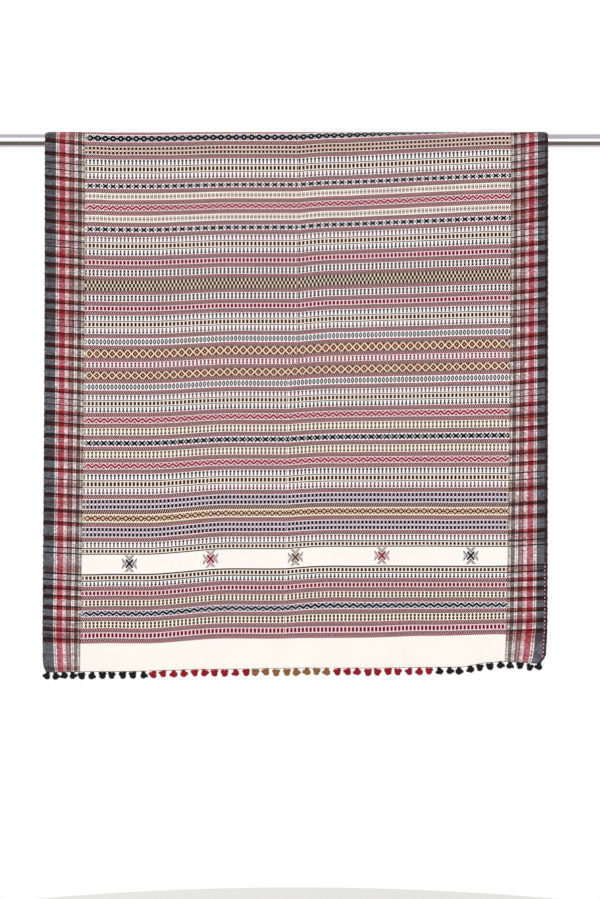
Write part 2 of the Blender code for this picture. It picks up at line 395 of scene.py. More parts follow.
# %% Columns across the cloth
FIELD_LEFT = -0.4205
FIELD_RIGHT = 0.4264
BORDER_COLUMNS = 12
FIELD_COLUMNS = 134
DRIFT = ((-0.5, -0.0050), (FIELD_LEFT, -0.0100), (FIELD_RIGHT, -0.0105), (0.5, -0.0020))


def evenly(first, last, steps):
    return [first + (last - first) * step / steps for step in range(steps)]


columns = evenly(-CLOTH_WIDTH / 2, FIELD_LEFT, BORDER_COLUMNS)
columns += evenly(FIELD_LEFT, FIELD_RIGHT, FIELD_COLUMNS)
columns += evenly(FIELD_RIGHT, CLOTH_WIDTH / 2, BORDER_COLUMNS) + [CLOTH_WIDTH / 2]
print("columns:", len(columns) - 1)

# %% [markdown]
# ## How the weft slants
#
# The cloth hangs a little askew. Its crosswise yarns are level near the left border, climb in one soft
# step, jump at the weaver's middle line, and then rise steadily to the right. The amounts change down the
# cloth, so they are kept as one row of measures for each height, in millimetres below the rail's axis, and
# read between.

# %% Slant of the weft
# Each row: height, left plateau, first step, second step, right slope, left border, right border
SLANTS = (
    (66.6, -1.6, 3.0, 4.0, 13.9, 7.6, 9.7),
    (170.0, -1.2, 5.0, 5.5, 13.4, 7.2, 9.7),
    (289.3, -0.8, 6.0, 6.0, 10.4, 6.0, 8.0),
    (408.5, -0.4, 7.2, 5.4, 8.0, 6.0, 8.0),
    (527.8, 0.0, 7.4, 5.0, 6.0, 6.0, 7.0),
    (647.1, 0.0, 8.0, 4.6, 1.5, 5.0, 6.0),
    (760.4, 0.0, 10.9, 4.0, -0.4, 5.0, 5.4),
    (931.4, 1.0, 10.9, 6.6, -0.4, 4.0, 3.2),
    (1001.0, 1.0, 9.3, 1.2, 6.8, 4.0, 3.2),
)
MEASURED_AT = -0.4065
PLATEAU_AT = -0.3608
FIRST_STEP = (-0.3000, -0.1203)
SECOND_STEP_ENDS = 0.0944
SLOPE_ENDS = 0.3986
MIDDLE_LINES = ((449.0, 0.0050), (453.0, -0.0129))


def middle_line(level):
    """Where the weaver's middle line runs at this height, in millimetres below the axis."""
    return along(MIDDLE_LINES, level)[0]


def weft_lift(x, level):
    """How much higher a crosswise yarn lies at x than where its height was measured."""
    plateau, first, second, slope, left, right = along(SLANTS, level)
    lift = plateau * smooth_step((x - MEASURED_AT) / (PLATEAU_AT - MEASURED_AT))
    lift += first * smooth_step((x - FIRST_STEP[0]) / (FIRST_STEP[1] - FIRST_STEP[0]))
    middle = middle_line(level)
    past = min(max((x - middle) / (SECOND_STEP_ENDS - middle), 0.0), 1.0)
    lift += second * (1 - (1 - past) ** 2)
    lift += slope * min(max((x - SECOND_STEP_ENDS) / (SLOPE_ENDS - SECOND_STEP_ENDS), 0.0), 1.0)
    lift += left * max(FIELD_LEFT - x, 0.0) / (FIELD_LEFT + CLOTH_WIDTH / 2)
    lift += right * max(x - FIELD_RIGHT, 0.0) / (CLOTH_WIDTH / 2 - FIELD_RIGHT)
    return lift * MILLIMETRE


print("lift at the right, near the rail:", round(weft_lift(0.5, 66.6) * 1000, 1), "mm")

# %% [markdown]
# ## The bands, as the weaver would list them
#
# The pattern is a long list of narrow bands. Between two figured bands always runs a twill of two rows, one
# pink and one grey, whose order changes from place to place. Three kinds come together as a group: a row of
# pins with their heads up, a row of dots between two thin lines, and a row of pins with their heads down.
# Each line of the table is one figured band, with its top and bottom in millimetres below the rail's axis.

# %% Table of bands
Band = namedtuple("Band", "kind top bottom below")
FIGURED = (
    Band("black diamonds", -9.1, 2.2, "pink first"),
    Band("peach double dots", 14.1, 28.8, "grey first"),
    Band("group black maroon", 39.0, 76.9, "grey first"),
    Band("black crosses", 86.5, 96.0, "pink first"),
    Band("ticks", 106.2, 118.9, "pink first"),
    Band("crimson zigzag", 128.2, 140.4, "grey first"),
    Band("ticks", 150.5, 163.2, "grey first"),
    Band("black crosses", 173.4, 183.5, "pink first"),
    Band("group maroon black", 192.8, 229.2, "pink first"),
    Band("crimson dots", 239.4, 248.1, "grey first"),
    Band("black bars", 258.6, 270.4, "pink first"),
    Band("checker", 280.9, 299.2, "grey first"),
    Band("black bars", 308.9, 321.1, "pink first"),
    Band("crimson dots", 331.2, 340.1, "grey first"),
    Band("group black maroon", 349.9, 385.5, "grey first"),
    Band("rings", 395.6, 407.7, "pink first"),
    Band("gold diamonds", 418.9, 432.0, "grey first"),
    Band("crimson bars", 443.1, 452.3, "pink first"),
    Band("gold diamonds", 462.4, 474.7, "grey first"),
    Band("rings", 485.9, 498.0, "pink first"),
    Band("group maroon black", 508.1, 541.7, "pink first"),
    Band("crimson zigzag", 552.3, 563.6, "grey first"),
    Band("long bars", 574.7, 586.9, "grey first"),
    Band("bold crosses", 598.0, 610.1, "pink first"),
    Band("long bars", 619.3, 632.6, "pink first"),
    Band("crimson zigzag", 643.3, 654.3, "grey first"),
    Band("group black crimson", 666.0, 704.5, "grey first"),
    Band("lilac double dots", 715.7, 734.0, "grey only"),
    Band("open diamonds", 746.1, 759.2, "grey first"),
    Band("lilac double dots", 772.3, 789.6, "pink first"),
    Band("maroon heads up", 801.2, 811.3, ""),
    Band("thin line", 811.4, 814.0, ""),
    Band("brown dots", 814.6, 822.6, ""),
    Band("thin line", 822.9, 825.5, ""),
    Band("stars", 825.6, 862.6, ""),
    Band("thin line", 863.5, 866.1, ""),
    Band("brown dots", 867.0, 875.8, ""),
    Band("thin line", 876.1, 878.7, ""),
    Band("black heads down", 879.2, 887.6, "pink first"),
    Band("crimson dots", 898.0, 905.7, "grey first"),
    Band("short bars", 916.9, 927.0, "grey first"),
    Band("navy zigzag", 937.1, 948.3, "pink first"),
    Band("short bars", 959.4, 970.3, "pink first"),
    Band("crimson dots", 981.9, 989.8, "grey first"),
)
TOP_TWILL = (-16.5, -9.9)
LAST_TWILL = (992.2, 1001.8)
TWILL_HEIGHT = 8.8
GROUP_SHARES = (0.0, 0.285, 0.345, 0.645, 0.705, 1.0)


def group_bands(band):
    """Spells out a group of pins, dots and pins as its five bands."""
    upper, lower = band.kind.split()[1:]
    kinds = (upper + " heads up", "thin line", "brown dots", "thin line", lower + " heads down")
    edges = [band.top + (band.bottom - band.top) * share for share in GROUP_SHARES]
    last = len(kinds) - 1
    return [
        Band(kind, edges[i], edges[i + 1], band.below if i == last else "") for i, kind in enumerate(kinds)
    ]


def twill_rows(order, top, bottom):
    """The one or two rows of a twill between two heights."""
    if order == "grey only":
        return [Band("grey twill", top, bottom, "")]
    middle = (top + bottom) / 2
    first, second = ("pink twill", "grey twill") if order == "pink first" else ("grey twill", "pink twill")
    return [Band(first, top, middle, ""), Band(second, middle, bottom, "")]


figured = []
for band in FIGURED:
    figured += group_bands(band) if band.kind.startswith("group") else [band]

bands = [Band("pink twill", *TOP_TWILL, "")]
top = TOP_TWILL[1]
for band, following in zip(figured, figured[1:] + [None]):
    if following is None:
        bottom, twill_top, twill_bottom = LAST_TWILL[0], *LAST_TWILL
    elif band.below:
        gap = following.top - band.bottom
        margin = max(gap - TWILL_HEIGHT, 0.0) / 2
        bottom = twill_top = band.bottom + margin
        twill_bottom = following.top - margin
    else:
        bottom = twill_top = twill_bottom = (band.bottom + following.top) / 2
    bands.append(Band(band.kind, top, bottom, ""))
    if band.below:
        bands += twill_rows(band.below, twill_top, twill_bottom)
    top = twill_bottom
print("bands from the rail to the end strip:", len(bands))

# %% [markdown]
# ## Rows of the mesh
#
# A row of the mesh follows a crosswise yarn, so every band edge is also a mesh edge. Then each face belongs
# to one band, and the band's finish is simply the face's material. A level is a place along the cloth's
# length, positive down the front and negative over the rail and down the back. The end strip fills up to
# the hem, whose slant differs from that of the last twill, so its rows blend from one to the other. The
# back isn't seen in the photograph. It carries the same bands from its own hem upwards, as on a shawl with
# two equal ends, and meets the front's top band along one weft behind the rail.

# %% Rows along the cloth
Row = namedtuple("Row", "levels share band")
END_STRIP_ROWS = 7
TALLEST_STEP = 6.4
BACK_STARTS_AT = 49.8
JOINING_HEIGHT = 9.0 * MILLIMETRE
WEFT_WAVER = 0.5 * MILLIMETRE
WAVER_ACROSS, WAVER_ALONG = 14, 0.02
FRONT_SEED, BACK_SEED = 3, 8


def waver(x, height, seed):
    """How far a yarn strays from its course, so that no row looks ruled."""
    return WEFT_WAVER * noise.noise(Vector((x * WAVER_ACROSS, height * WAVER_ALONG, seed)))


def weft_levels(level):
    """The places of one crosswise yarn of the front, at every column."""
    return [level * MILLIMETRE - weft_lift(x, level) + waver(x, level, FRONT_SEED) for x in columns]


def band_steps(number):
    """The heights inside one band at which a row of the mesh runs, each with its share of the band."""
    band = bands[number]
    height = band.bottom - band.top
    steps = max(1, math.ceil(height / TALLEST_STEP))
    return [(band.top + height * step / steps, 1 - step / steps) for step in range(1, steps + 1)]


def front_rows():
    """The rows from the top down to the front hem: each holds its levels and the band above it."""
    rows = [Row(weft_levels(bands[0].top), 0.0, joining)]
    for number in range(len(bands)):
        rows += [Row(weft_levels(level), share, number) for level, share in band_steps(number)]
    above = rows[-1].levels
    hem = [hem_level(FRONT, x) for x in columns]
    for step in range(1, END_STRIP_ROWS + 1):
        share = step / END_STRIP_ROWS
        rows.append(Row([a + (b - a) * share for a, b in zip(above, hem)], 1 - share, end_strip))
    return rows


def back_row(height, share, number):
    """One yarn of the back: as far between the meeting line and the hem as its height says."""
    part = (height - BACK_STARTS_AT) / (FRONT.hem_drop / MILLIMETRE - BACK_STARTS_AT)
    levels = []
    for x, start in zip(columns, meeting):
        length = start + CROWN_LENGTH + hem_level(BACK, x)
        strayed = waver(x, height, BACK_SEED) * math.sin(math.pi * part)
        levels.append(start - SEAM_GAP / 2 - length * part + strayed)
    return Row(levels, share, number)


def back_rows():
    """The rows from the meeting line down to the back hem."""
    first = next(number for number, band in enumerate(bands) if band.top > BACK_STARTS_AT - 0.5)
    rows = [back_row(BACK_STARTS_AT, 1.0, None)]
    for number in range(first, len(bands)):
        rows += [back_row(level, share, number) for level, share in band_steps(number)]
    strip = FRONT.hem_drop / MILLIMETRE - LAST_TWILL[1]
    for step in range(1, END_STRIP_ROWS + 1):
        share = step / END_STRIP_ROWS
        rows.append(back_row(LAST_TWILL[1] + strip * share, 1 - share, end_strip))
    return rows


end_strip, joining = len(bands), len(bands) + 1
kinds = [band.kind for band in bands] + ["end strip", "maroon heads up"]
meeting = [level - JOINING_HEIGHT for level in weft_levels(bands[0].top)]
front_part = [Row([level + SEAM_GAP / 2 for level in meeting], 1.0, None)] + front_rows()
back_part = back_rows()
print("rows in front:", len(front_part) - 1, "and behind:", len(back_part) - 1)

# %% [markdown]
# ## Where a point of the cloth lies
#
# One function bends the flat weaving into place. Over the rail it turns round the rail's axis. Below it, it
# hangs, drifts to the left and stands out in its folds. Low down, the borders lean inwards and lift a
# little, and only the very corner turns in. Then come the small things that a hand feels: the cloth puckers
# by less than a millimetre, and a few soft creases run down it, listed one by one for both sides.

# %% Shape of the cloth
PUCKER = 0.0007
PUCKER_SIZE = Vector((26, 9, 17))
# The puckers grow from nothing at the rail to their full depth this far below it
PUCKERS_BELOW = 0.05
# How far above the hem a border starts to lean inwards, and its corner to turn in. The lean takes a share
# of the whole, and follows part of a sine wave across the border.
LEAN_REACH = 0.085
CORNER_REACH = 0.022
LEAN_SHARE = 0.45
LEAN_TURN = 0.85 * math.pi
TURN_SHARE = 1 - LEAN_SHARE * math.sin(LEAN_TURN)

Crease = namedtuple("Crease", "x top bottom lean half_width depth")
FRONT_CREASES = (
    Crease(-0.365, 0.10, 0.62, 0.015, 0.010, 0.0010),
    Crease(-0.225, 0.25, 0.95, -0.020, 0.014, -0.0012),
    Crease(-0.142, 0.60, 1.02, 0.022, 0.011, 0.0013),
    Crease(-0.004, 0.08, 1.04, -0.010, 0.009, -0.0013),
    Crease(0.062, 0.14, 0.70, 0.014, 0.012, 0.0010),
    Crease(0.205, 0.42, 1.00, -0.026, 0.013, -0.0011),
    Crease(0.292, 0.05, 0.55, 0.018, 0.010, 0.0011),
    Crease(0.402, 0.55, 1.03, -0.012, 0.012, 0.0014),
)
BACK_CREASES = (
    Crease(-0.385, 0.20, 0.90, -0.018, 0.012, 0.0012),
    Crease(-0.262, 0.08, 0.60, 0.021, 0.010, -0.0011),
    Crease(-0.090, 0.45, 0.98, -0.014, 0.013, 0.0012),
    Crease(0.010, 0.06, 0.92, 0.016, 0.010, -0.0013),
    Crease(0.168, 0.30, 0.74, -0.020, 0.012, 0.0010),
    Crease(0.345, 0.52, 0.96, 0.012, 0.011, 0.0013),
)
CREASES = {"front": FRONT_CREASES, "back": BACK_CREASES}


def fold_height(fold, x, drop):
    """How far a fold stands out. It begins below the rail, grows and leans as it falls."""
    grown = smooth_step((drop - fold.begins) / FOLD_GROWTH)
    across = abs(x - fold.x - fold.lean * drop) / fold.half_width
    return fold.depth * grown * 0.5 * (1 + math.cos(math.pi * across)) if across < 1 else 0.0


def crease_height(crease, x, drop):
    """A soft trough or ridge that fades in and out along its length."""
    length = (drop - crease.top) / (crease.bottom - crease.top)
    if not 0 < length < 1:
        return 0.0
    across = abs(x - crease.x - crease.lean * length) / crease.half_width
    return crease.depth * math.sin(math.pi * length) * math.exp(-across * across)


def hanging_point(fall, x, drop):
    """The middle of the cloth's wall at x, so far below the rail's axis."""
    hem = hem_level(fall, x)
    share = max(drop - SEAM_GAP, 0.0) / (hem - SEAM_GAP)
    out = MID_RADIUS + sum(fold_height(fold, x, drop) for fold in fall.folds)
    place = x + along(DRIFT, x)[0] * share * share
    for curl in fall.curls:
        into_border = (curl.side * x - CLOTH_WIDTH / 2 + BORDER_WIDTH) / BORDER_WIDTH
        if into_border <= 0:
            continue
        leaning = LEAN_SHARE * math.sin(LEAN_TURN * into_border) * smooth_step(1 + (drop - hem) / LEAN_REACH)
        turned = min(max(1 + (drop - hem) / CORNER_REACH, 0.0), 1.0) ** 2 * into_border ** 3
        place -= curl.side * curl.inward * (leaning + TURN_SHARE * turned)
        out += curl.lift * into_border * smooth_step(1 + (drop - hem) / CURL_REACH)
    for crease in CREASES[fall.name]:
        out += crease_height(crease, x, drop)
    waves = noise.noise(Vector((x, drop, fall.facing)) * PUCKER_SIZE) * smooth_step(drop / PUCKERS_BELOW)
    return Vector((place, fall.facing * (out + PUCKER * waves), -drop))


def cloth_point(x, level):
    """The middle of the wall at a level that runs from the front hem over the rail to the back hem."""
    if level >= 0:
        return hanging_point(FRONT, x, level)
    if level <= -CROWN_LENGTH:
        return hanging_point(BACK, x, -level - CROWN_LENGTH)
    turn = -level / MID_RADIUS
    return Vector((x, -MID_RADIUS * math.cos(turn), MID_RADIUS * math.sin(turn)))


print("a point of the front:", [round(value, 4) for value in cloth_point(0.1, 0.5)])

# %% [markdown]
# ## Weaving the mesh
#
# Cloth has two faces and an edge, so each stretch is a closed shell: an outer grid, an inner grid and a rim
# that joins them. The grid points come from the function above. The wall's direction is taken from the
# neighbours of each point. Rows of twill are a little thicker than plain rows, and the sides pull in and
# out from band to band. A map called weave tells the finishes where they are: across in metres, and up as a
# share of the band. A second map gives the same place in plain metres, for the yarns themselves, and a
# third is for baking.

# %% Helpers that build a stretch of cloth
SLIP = 4.1 * MILLIMETRE
FIGURES_FROM = -0.3644
BORDER_MEASURE = 0.0746
RIGHT_BORDER_AT = 0.1
STARS = ((-0.3252, "black"), (-0.1644, "crimson"), (0.0042, "brown"), (0.1758, "crimson"), (0.3527, "black"))
STAR_REACH = 0.021
# How much thicker than plain cloth the rows of a band are, by a word in its kind
THICKNESS = {"twill": 0.00034, "thin": 0.00010, "strip": -0.00012, "stars": -0.00010}


def thickness_of(kind):
    return next((extra for word, extra in THICKNESS.items() if word in kind), 0.0)


def row_thickness(rows):
    """The extra thickness at each row, the mean of the bands above and below it."""
    extra = []
    for before, after in zip(rows, rows[1:] + [None]):
        around = [row.band for row in (before, after) if row is not None and row.band is not None]
        extra.append(sum(thickness_of(kinds[number]) for number in around) / max(len(around), 1))
    return extra


def nearest_star(x):
    return min(STARS, key=lambda star: abs(x - star[0]))


def across_place(x, middle):
    """The across value of the weave map for a face whose middle is at the second place."""
    if middle < FIELD_LEFT:
        return (x + CLOTH_WIDTH / 2) / (FIELD_LEFT + CLOTH_WIDTH / 2) * BORDER_MEASURE
    if middle > FIELD_RIGHT:
        return RIGHT_BORDER_AT + (CLOTH_WIDTH / 2 - x) / (CLOTH_WIDTH / 2 - FIELD_RIGHT) * BORDER_MEASURE
    return x


def figure_shift(finish, middle, level):
    """What is added to the across value, so that a figure starts at the weaver's own place."""
    if finish.endswith("star"):
        return -nearest_star(middle)[0]
    if finish.startswith("border"):
        return 0.0
    slip = SLIP if middle > middle_line(level / MILLIMETRE) else 0.0
    return slip - FIGURES_FROM


def finish_of(kind, middle):
    """The name of the finish that a face gets from its band and its place across."""
    if FIELD_LEFT < middle < FIELD_RIGHT:
        if kind == "stars":
            place, colour = nearest_star(middle)
            return colour + " star" if abs(middle - place) < STAR_REACH else "plain white"
        return kind
    for word, crossing in (("pink", "maroon"), ("grey", "black"), ("thin", "thin")):
        if word in kind:
            return "border " + crossing
    return "border plain"


def wall_normals(points):
    """The direction that the cloth's outer side looks in, at each point of a grid."""
    normals = []
    for r, line in enumerate(points):
        above, below = points[max(r - 1, 0)], points[min(r + 1, len(points) - 1)]
        found = []
        for c in range(len(line)):
            across = line[min(c + 1, len(line) - 1)] - line[max(c - 1, 0)]
            found.append(across.cross(above[c] - below[c]).normalized())
        normals.append(found)
    return normals


print("stars:", len(STARS))

# %% The two sides of a stretch
INNER_RELIEF = 0.4
SCALLOP = 0.0009
SCALLOP_PITCH = 290
CROWN_SWELL = 0.0026
# The picture for baking: the outer side's share of it, and the space left free at each edge
OUTER_SHARE = 0.72
EDGE_SPACE = 0.004


def wall_grids(shape, rows, outward):
    """The points of a stretch's outer side and of its inner side, with scalloped edges."""
    points = [[cloth_point(x, level) for x, level in zip(columns, row.levels)] for row in rows]
    normals = wall_normals(points)
    extra = row_thickness(rows)
    last = len(columns) - 1
    grids = []
    for side, relief in ((1, 1.0), (-1, INNER_RELIEF)):
        grid = []
        for r, line in enumerate(points):
            made = []
            for c, point in enumerate(line):
                level = rows[r].levels[c]
                reach = WALL / 2 + extra[r] * relief
                if side == 1 and -CROWN_LENGTH < level < 0 and 0 < c < last:
                    reach += CROWN_SWELL * math.sin(-level / MID_RADIUS)
                vert = shape.verts.new(point + normals[r][c] * side * outward * reach)
                if c in (0, last):
                    vert.co.x += SCALLOP * math.sin(level * SCALLOP_PITCH + c) * side * (1 if c else -1)
                made.append(vert)
            grid.append(made)
        grids.append(grid)
    return grids


def baking_place(side, x, along_share):
    """Spreads the stretch over a square picture: its outer side large, its inner side in a strip."""
    across = EDGE_SPACE + (x / CLOTH_WIDTH + 0.5) * (1 - 2 * EDGE_SPACE)
    start, height = (0.0, OUTER_SHARE) if side == 0 else (OUTER_SHARE, 1 - OUTER_SHARE)
    return (across, start + EDGE_SPACE + along_share * (height - 2 * EDGE_SPACE))


def weave_faces(shape, maps, grids, rows, names):
    """The faces of both sides, each with its finish and its place in the three maps."""
    weave_map, yarn_map, baking_map = maps
    lengths = [row.levels[len(columns) // 2] for row in rows]
    for side, grid in enumerate(grids):
        for r in range(1, len(rows)):
            row, above = rows[r], rows[r - 1]
            top_share = above.share if above.band == row.band else 1.0
            for c, middle in enumerate(middles):
                corners = [(r, c), (r, c + 1), (r - 1, c + 1), (r - 1, c)]
                finish = finish_of(kinds[row.band], middle)
                face = shape.faces.new([grid[i][j] for i, j in corners])
                face.material_index = names.index(finish)
                shift = figure_shift(finish, middle, row.levels[c])
                for loop, (i, j) in zip(face.loops, corners):
                    along_share = (lengths[i] - lengths[-1]) / (lengths[0] - lengths[-1])
                    up = row.share if i == r else top_share
                    loop[weave_map].uv = (across_place(columns[j], middle) + shift, up)
                    loop[yarn_map].uv = (columns[j], rows[i].levels[j])
                    loop[baking_map].uv = baking_place(side, columns[j], along_share)


middles = [(left + right) / 2 for left, right in zip(columns, columns[1:])]
print("faces in one row of one side:", len(middles))

# %% The rim and the whole stretch
RIM_ANGLE = math.radians(50)


def close_rim(shape, grids):
    """Joins the outer grid to the inner one all round, and gives the rim the finish of its neighbour."""
    outer, inner = grids
    rows, width = len(outer), len(outer[0])
    border = [(0, c) for c in range(width)]
    border += [(r, width - 1) for r in range(1, rows)]
    border += [(rows - 1, c) for c in range(width - 2, -1, -1)]
    border += [(r, 0) for r in range(rows - 2, 0, -1)]
    shape.verts.index_update()
    for (r, c), (next_r, next_c) in zip(border, border[1:] + border[:1]):
        first, second = outer[r][c], outer[next_r][next_c]
        neighbour = shape.edges.get((first, second)).link_faces[0]
        face = shape.faces.new((first, second, inner[next_r][next_c], inner[r][c]))
        face.material_index = neighbour.material_index
        for layer in shape.loops.layers.uv.values():
            near = {loop.vert: loop[layer].uv.copy() for loop in neighbour.loops}
            for loop, above in zip(face.loops, (first, second, second, first)):
                loop[layer].uv = near[above]


def finished_piece(name, shape, materials):
    """Turns a shape into an object of its own, with its faces pointing out and shaded smooth."""
    bmesh.ops.recalc_face_normals(shape, faces=shape.faces)
    mesh = bpy.data.meshes.new(name)
    shape.to_mesh(mesh)
    shape.free()
    mesh.shade_smooth()
    for material in materials:
        mesh.materials.append(material)
    piece = bpy.data.objects.new(name, mesh)
    scene.collection.objects.link(piece)
    return piece


def weave_stretch(name, rows, outward):
    """Makes one stretch as a closed shell whose faces carry their finish and their place in the weave."""
    shape = bmesh.new()
    maps = [shape.loops.layers.uv.new(label) for label in ("weave", "cloth", "OFBake")]
    names = sorted({finish_of(kinds[row.band], middle) for row in rows[1:] for middle in middles})
    grids = wall_grids(shape, rows, outward)
    weave_faces(shape, maps, grids, rows, names)
    close_rim(shape, grids)
    piece = finished_piece(name, shape, [finishes[given] for given in names])
    piece.data.set_sharp_from_angle(angle=RIM_ANGLE)
    return piece


print("helpers are ready")

# %% [markdown]
# ## The yarns
#
# Close up, handwoven cloth is uneven: each yarn is a little lighter or darker than the next along its whole
# length, and the crossings stand out as tiny bumps. One group adds both to any colour. Noise that is
# stretched along the weft or the warp gives the streaks, and two sine waves give the crossings. Every
# finish uses it.

# %% Group: woven yarns
YARN_SPACING = 1.3 * MILLIMETRE
WEFT_STREAKS, WARP_STREAKS = (14.0, 620.0), (560.0, 16.0)
PATCH_SCALE, PATCH_DETAIL, PATCH_SHARE = 9.0, 3.0, 0.10
STREAK_RELIEF = 2.0

yarns, given, asked = start_group(
    "woven yarns", ["Colour", "Across", "Along", "Streaks"], ["Colour", "Height"]
)
place = (given["Across"], given["Along"])
streaks = (yarns.stretched(place, WEFT_STREAKS) - 0.5) + (yarns.stretched(place, WARP_STREAKS) - 0.5)
patches = yarns.cloudy(yarns.joined(*place), PATCH_SCALE, PATCH_DETAIL) - 0.5
level = streaks * given["Streaks"] + patches * PATCH_SHARE + 1.0
waves = [part * (math.tau / YARN_SPACING) for part in place]
yarns.feed(asked["Colour"], yarns.shaded(given["Colour"], level))
yarns.feed(asked["Height"], waves[0].sine() * waves[1].sine() + streaks * STREAK_RELIEF)
print("yarns to a centimetre:", round(10 * MILLIMETRE / YARN_SPACING, 1))

# %% [markdown]
# ## The figures
#
# A figured band repeats one small motif. Its group is given a place across in metres, a place up as a share
# of the band, and the width of one repeat. It folds the place into one repeat, from -1 to 1 both ways, and
# rounds it to whole yarns, so that slanting lines come out stepped as in real weaving. Each motif is then a
# short formula in its height and in the distances from its middle, across and up: a sum of both gives a
# diamond, their difference a cross, and a triangle wave a zigzag. It gives two masks, for its main yarn and
# a second colour.

# %% Groups: motifs
WIDE, NARROW = 15.3 * MILLIMETRE, 7.65 * MILLIMETRE
YARNS_UP = 6.0
YARN_STEP = WIDE / 20


def dots(height, across, up):
    return (across < 0.60) & (up < 0.60), (across < 0.80) & (up < 0.80)


def double_dots(height, across, up):
    dark = (across < 0.60) & (abs(up - 0.50) < 0.34)
    spot = (across < 0.40) & (up < 0.16)
    return dark, (up < 0.84) - spot


def heads_up(height, across, up):
    head = (across < 0.60) & between(height, 0.16, 0.84)
    foot = (across < 0.40) & between(height, -0.76, -0.16)
    return head | foot, (across < 0.40) & between(height, -0.76, 0.16)


def heads_down(height, across, up):
    return heads_up(height * -1.0, across, up)


def crosses(height, across, up):
    slope = abs(across / 0.78 - up / 0.82)
    arms = (slope < 0.56) & (across < 0.70) & (up < 0.84)
    dot = (across > 0.76) & (up < 0.40)
    return arms | dot, (slope < 0.60) & (across < 0.80)


def bold_crosses(height, across, up):
    slope = abs(across / 0.92 - up / 0.84)
    arms = (slope < 0.48) & (across < 0.80) & (up < 0.84)
    dot = (across > 0.80) & (up < 0.36)
    return arms | dot, (across > 0.60) & (up < 0.55)


def diamonds(height, across, up):
    reach = across / 0.98 + up / 0.90
    outline = between(reach, 0.32, 1.30) & (up < 0.90)
    mark = (across > 0.80) & between(up, 0.56, 0.90)
    return outline | mark, reach < 0.32


def from_zigzag(height, across):
    """How far a place is from a line that climbs and falls once in a repeat."""
    return abs(height - across.times_plus(-0.88, 0.44))


def zigzag(height, across, up):
    away = from_zigzag(height, across)
    return (away < 0.30) | ((away > 0.72) & (up < 0.84)), away < 0.56


def dotted_zigzag(height, across, up):
    away = from_zigzag(height, across)
    return (away < 0.44) | ((away > 0.72) & (up < 0.80)), up < 0.80


def checker(height, across, up):
    return (across > 0.40) & (up < 0.34), (across < 0.60) & between(up, 0.36, 0.96)


def bars(height, across, up):
    serif = (across < 0.60) & between(up, 0.40, 0.90)
    return serif | ((across < 0.20) & (up < 0.60)), (across < 0.60) & (up < 0.90)


def short_bars(height, across, up):
    return (across < 0.60) & between(up, 0.20, 0.80), (across < 0.40) & (up < 0.20)


def rings(height, across, up):
    wide, tall = across / 0.84, up / 0.80
    reach = wide * wide + tall * tall
    return between(reach, 0.12, 0.95), reach < 0.12


def filled_diamonds(height, across, up):
    middle = across / 0.80 + up / 0.92
    corner = (1.0 - across) / 0.62 + (1.0 - up) / 0.80
    return between(middle, 0.20, 1.0) | (corner < 1.05), middle < 0.20


def open_diamonds(height, across, up):
    reach = across / 0.92 + up / 0.62
    mark = (across > 0.80) & between(up, 0.40, 0.60)
    return between(reach, 0.62, 1.24) | mark, reach < 0.62


def ticks(height, across, up):
    post = between(across, 0.20, 0.60) & (up < 0.62)
    return post | ((across < 0.20) & (up < 0.20)), up < 0.20


def line(height, across, up):
    return up < 0.60, up < 0.80


MOTIFS = (
    dots, double_dots, heads_up, heads_down, crosses, bold_crosses, diamonds, zigzag, dotted_zigzag, checker,
    bars, short_bars, rings, filled_diamonds, open_diamonds, ticks, line,
)
motifs = {}
for formula in MOTIFS:
    name = formula.__name__.replace("_", " ")
    board, given, asked = start_group("motif " + name, ["Across", "Up", "Repeat"], ["Figure", "Second"])
    yarn = ((given["Across"] / YARN_STEP).floor() + 0.5) * YARN_STEP
    sideways = (yarn / given["Repeat"] + 0.5).fraction().times_plus(2.0, -1.0)
    height = ((given["Up"].times_plus(2.0, -1.0) * YARNS_UP).floor() + 0.5) / YARNS_UP
    for label, mask in zip(("Figure", "Second"), formula(height, abs(sideways), abs(height))):
        board.feed(asked[label], mask)
    motifs[name] = board
print("motifs:", len(motifs))

# %% [markdown]
# ## One finish for each kind of band
#
# A finish mixes three colours with a motif's two masks: the ground, the second colour and the main yarn.
# Then the yarn group makes the colour uneven, and a bump node turns the yarns and the raised figure into
# relief. Figures fade a little in places, most of all in the first rows beside the left border, as on the
# real cloth. The values that are the same all over, such as roughness and sheen, stay on the shader itself.

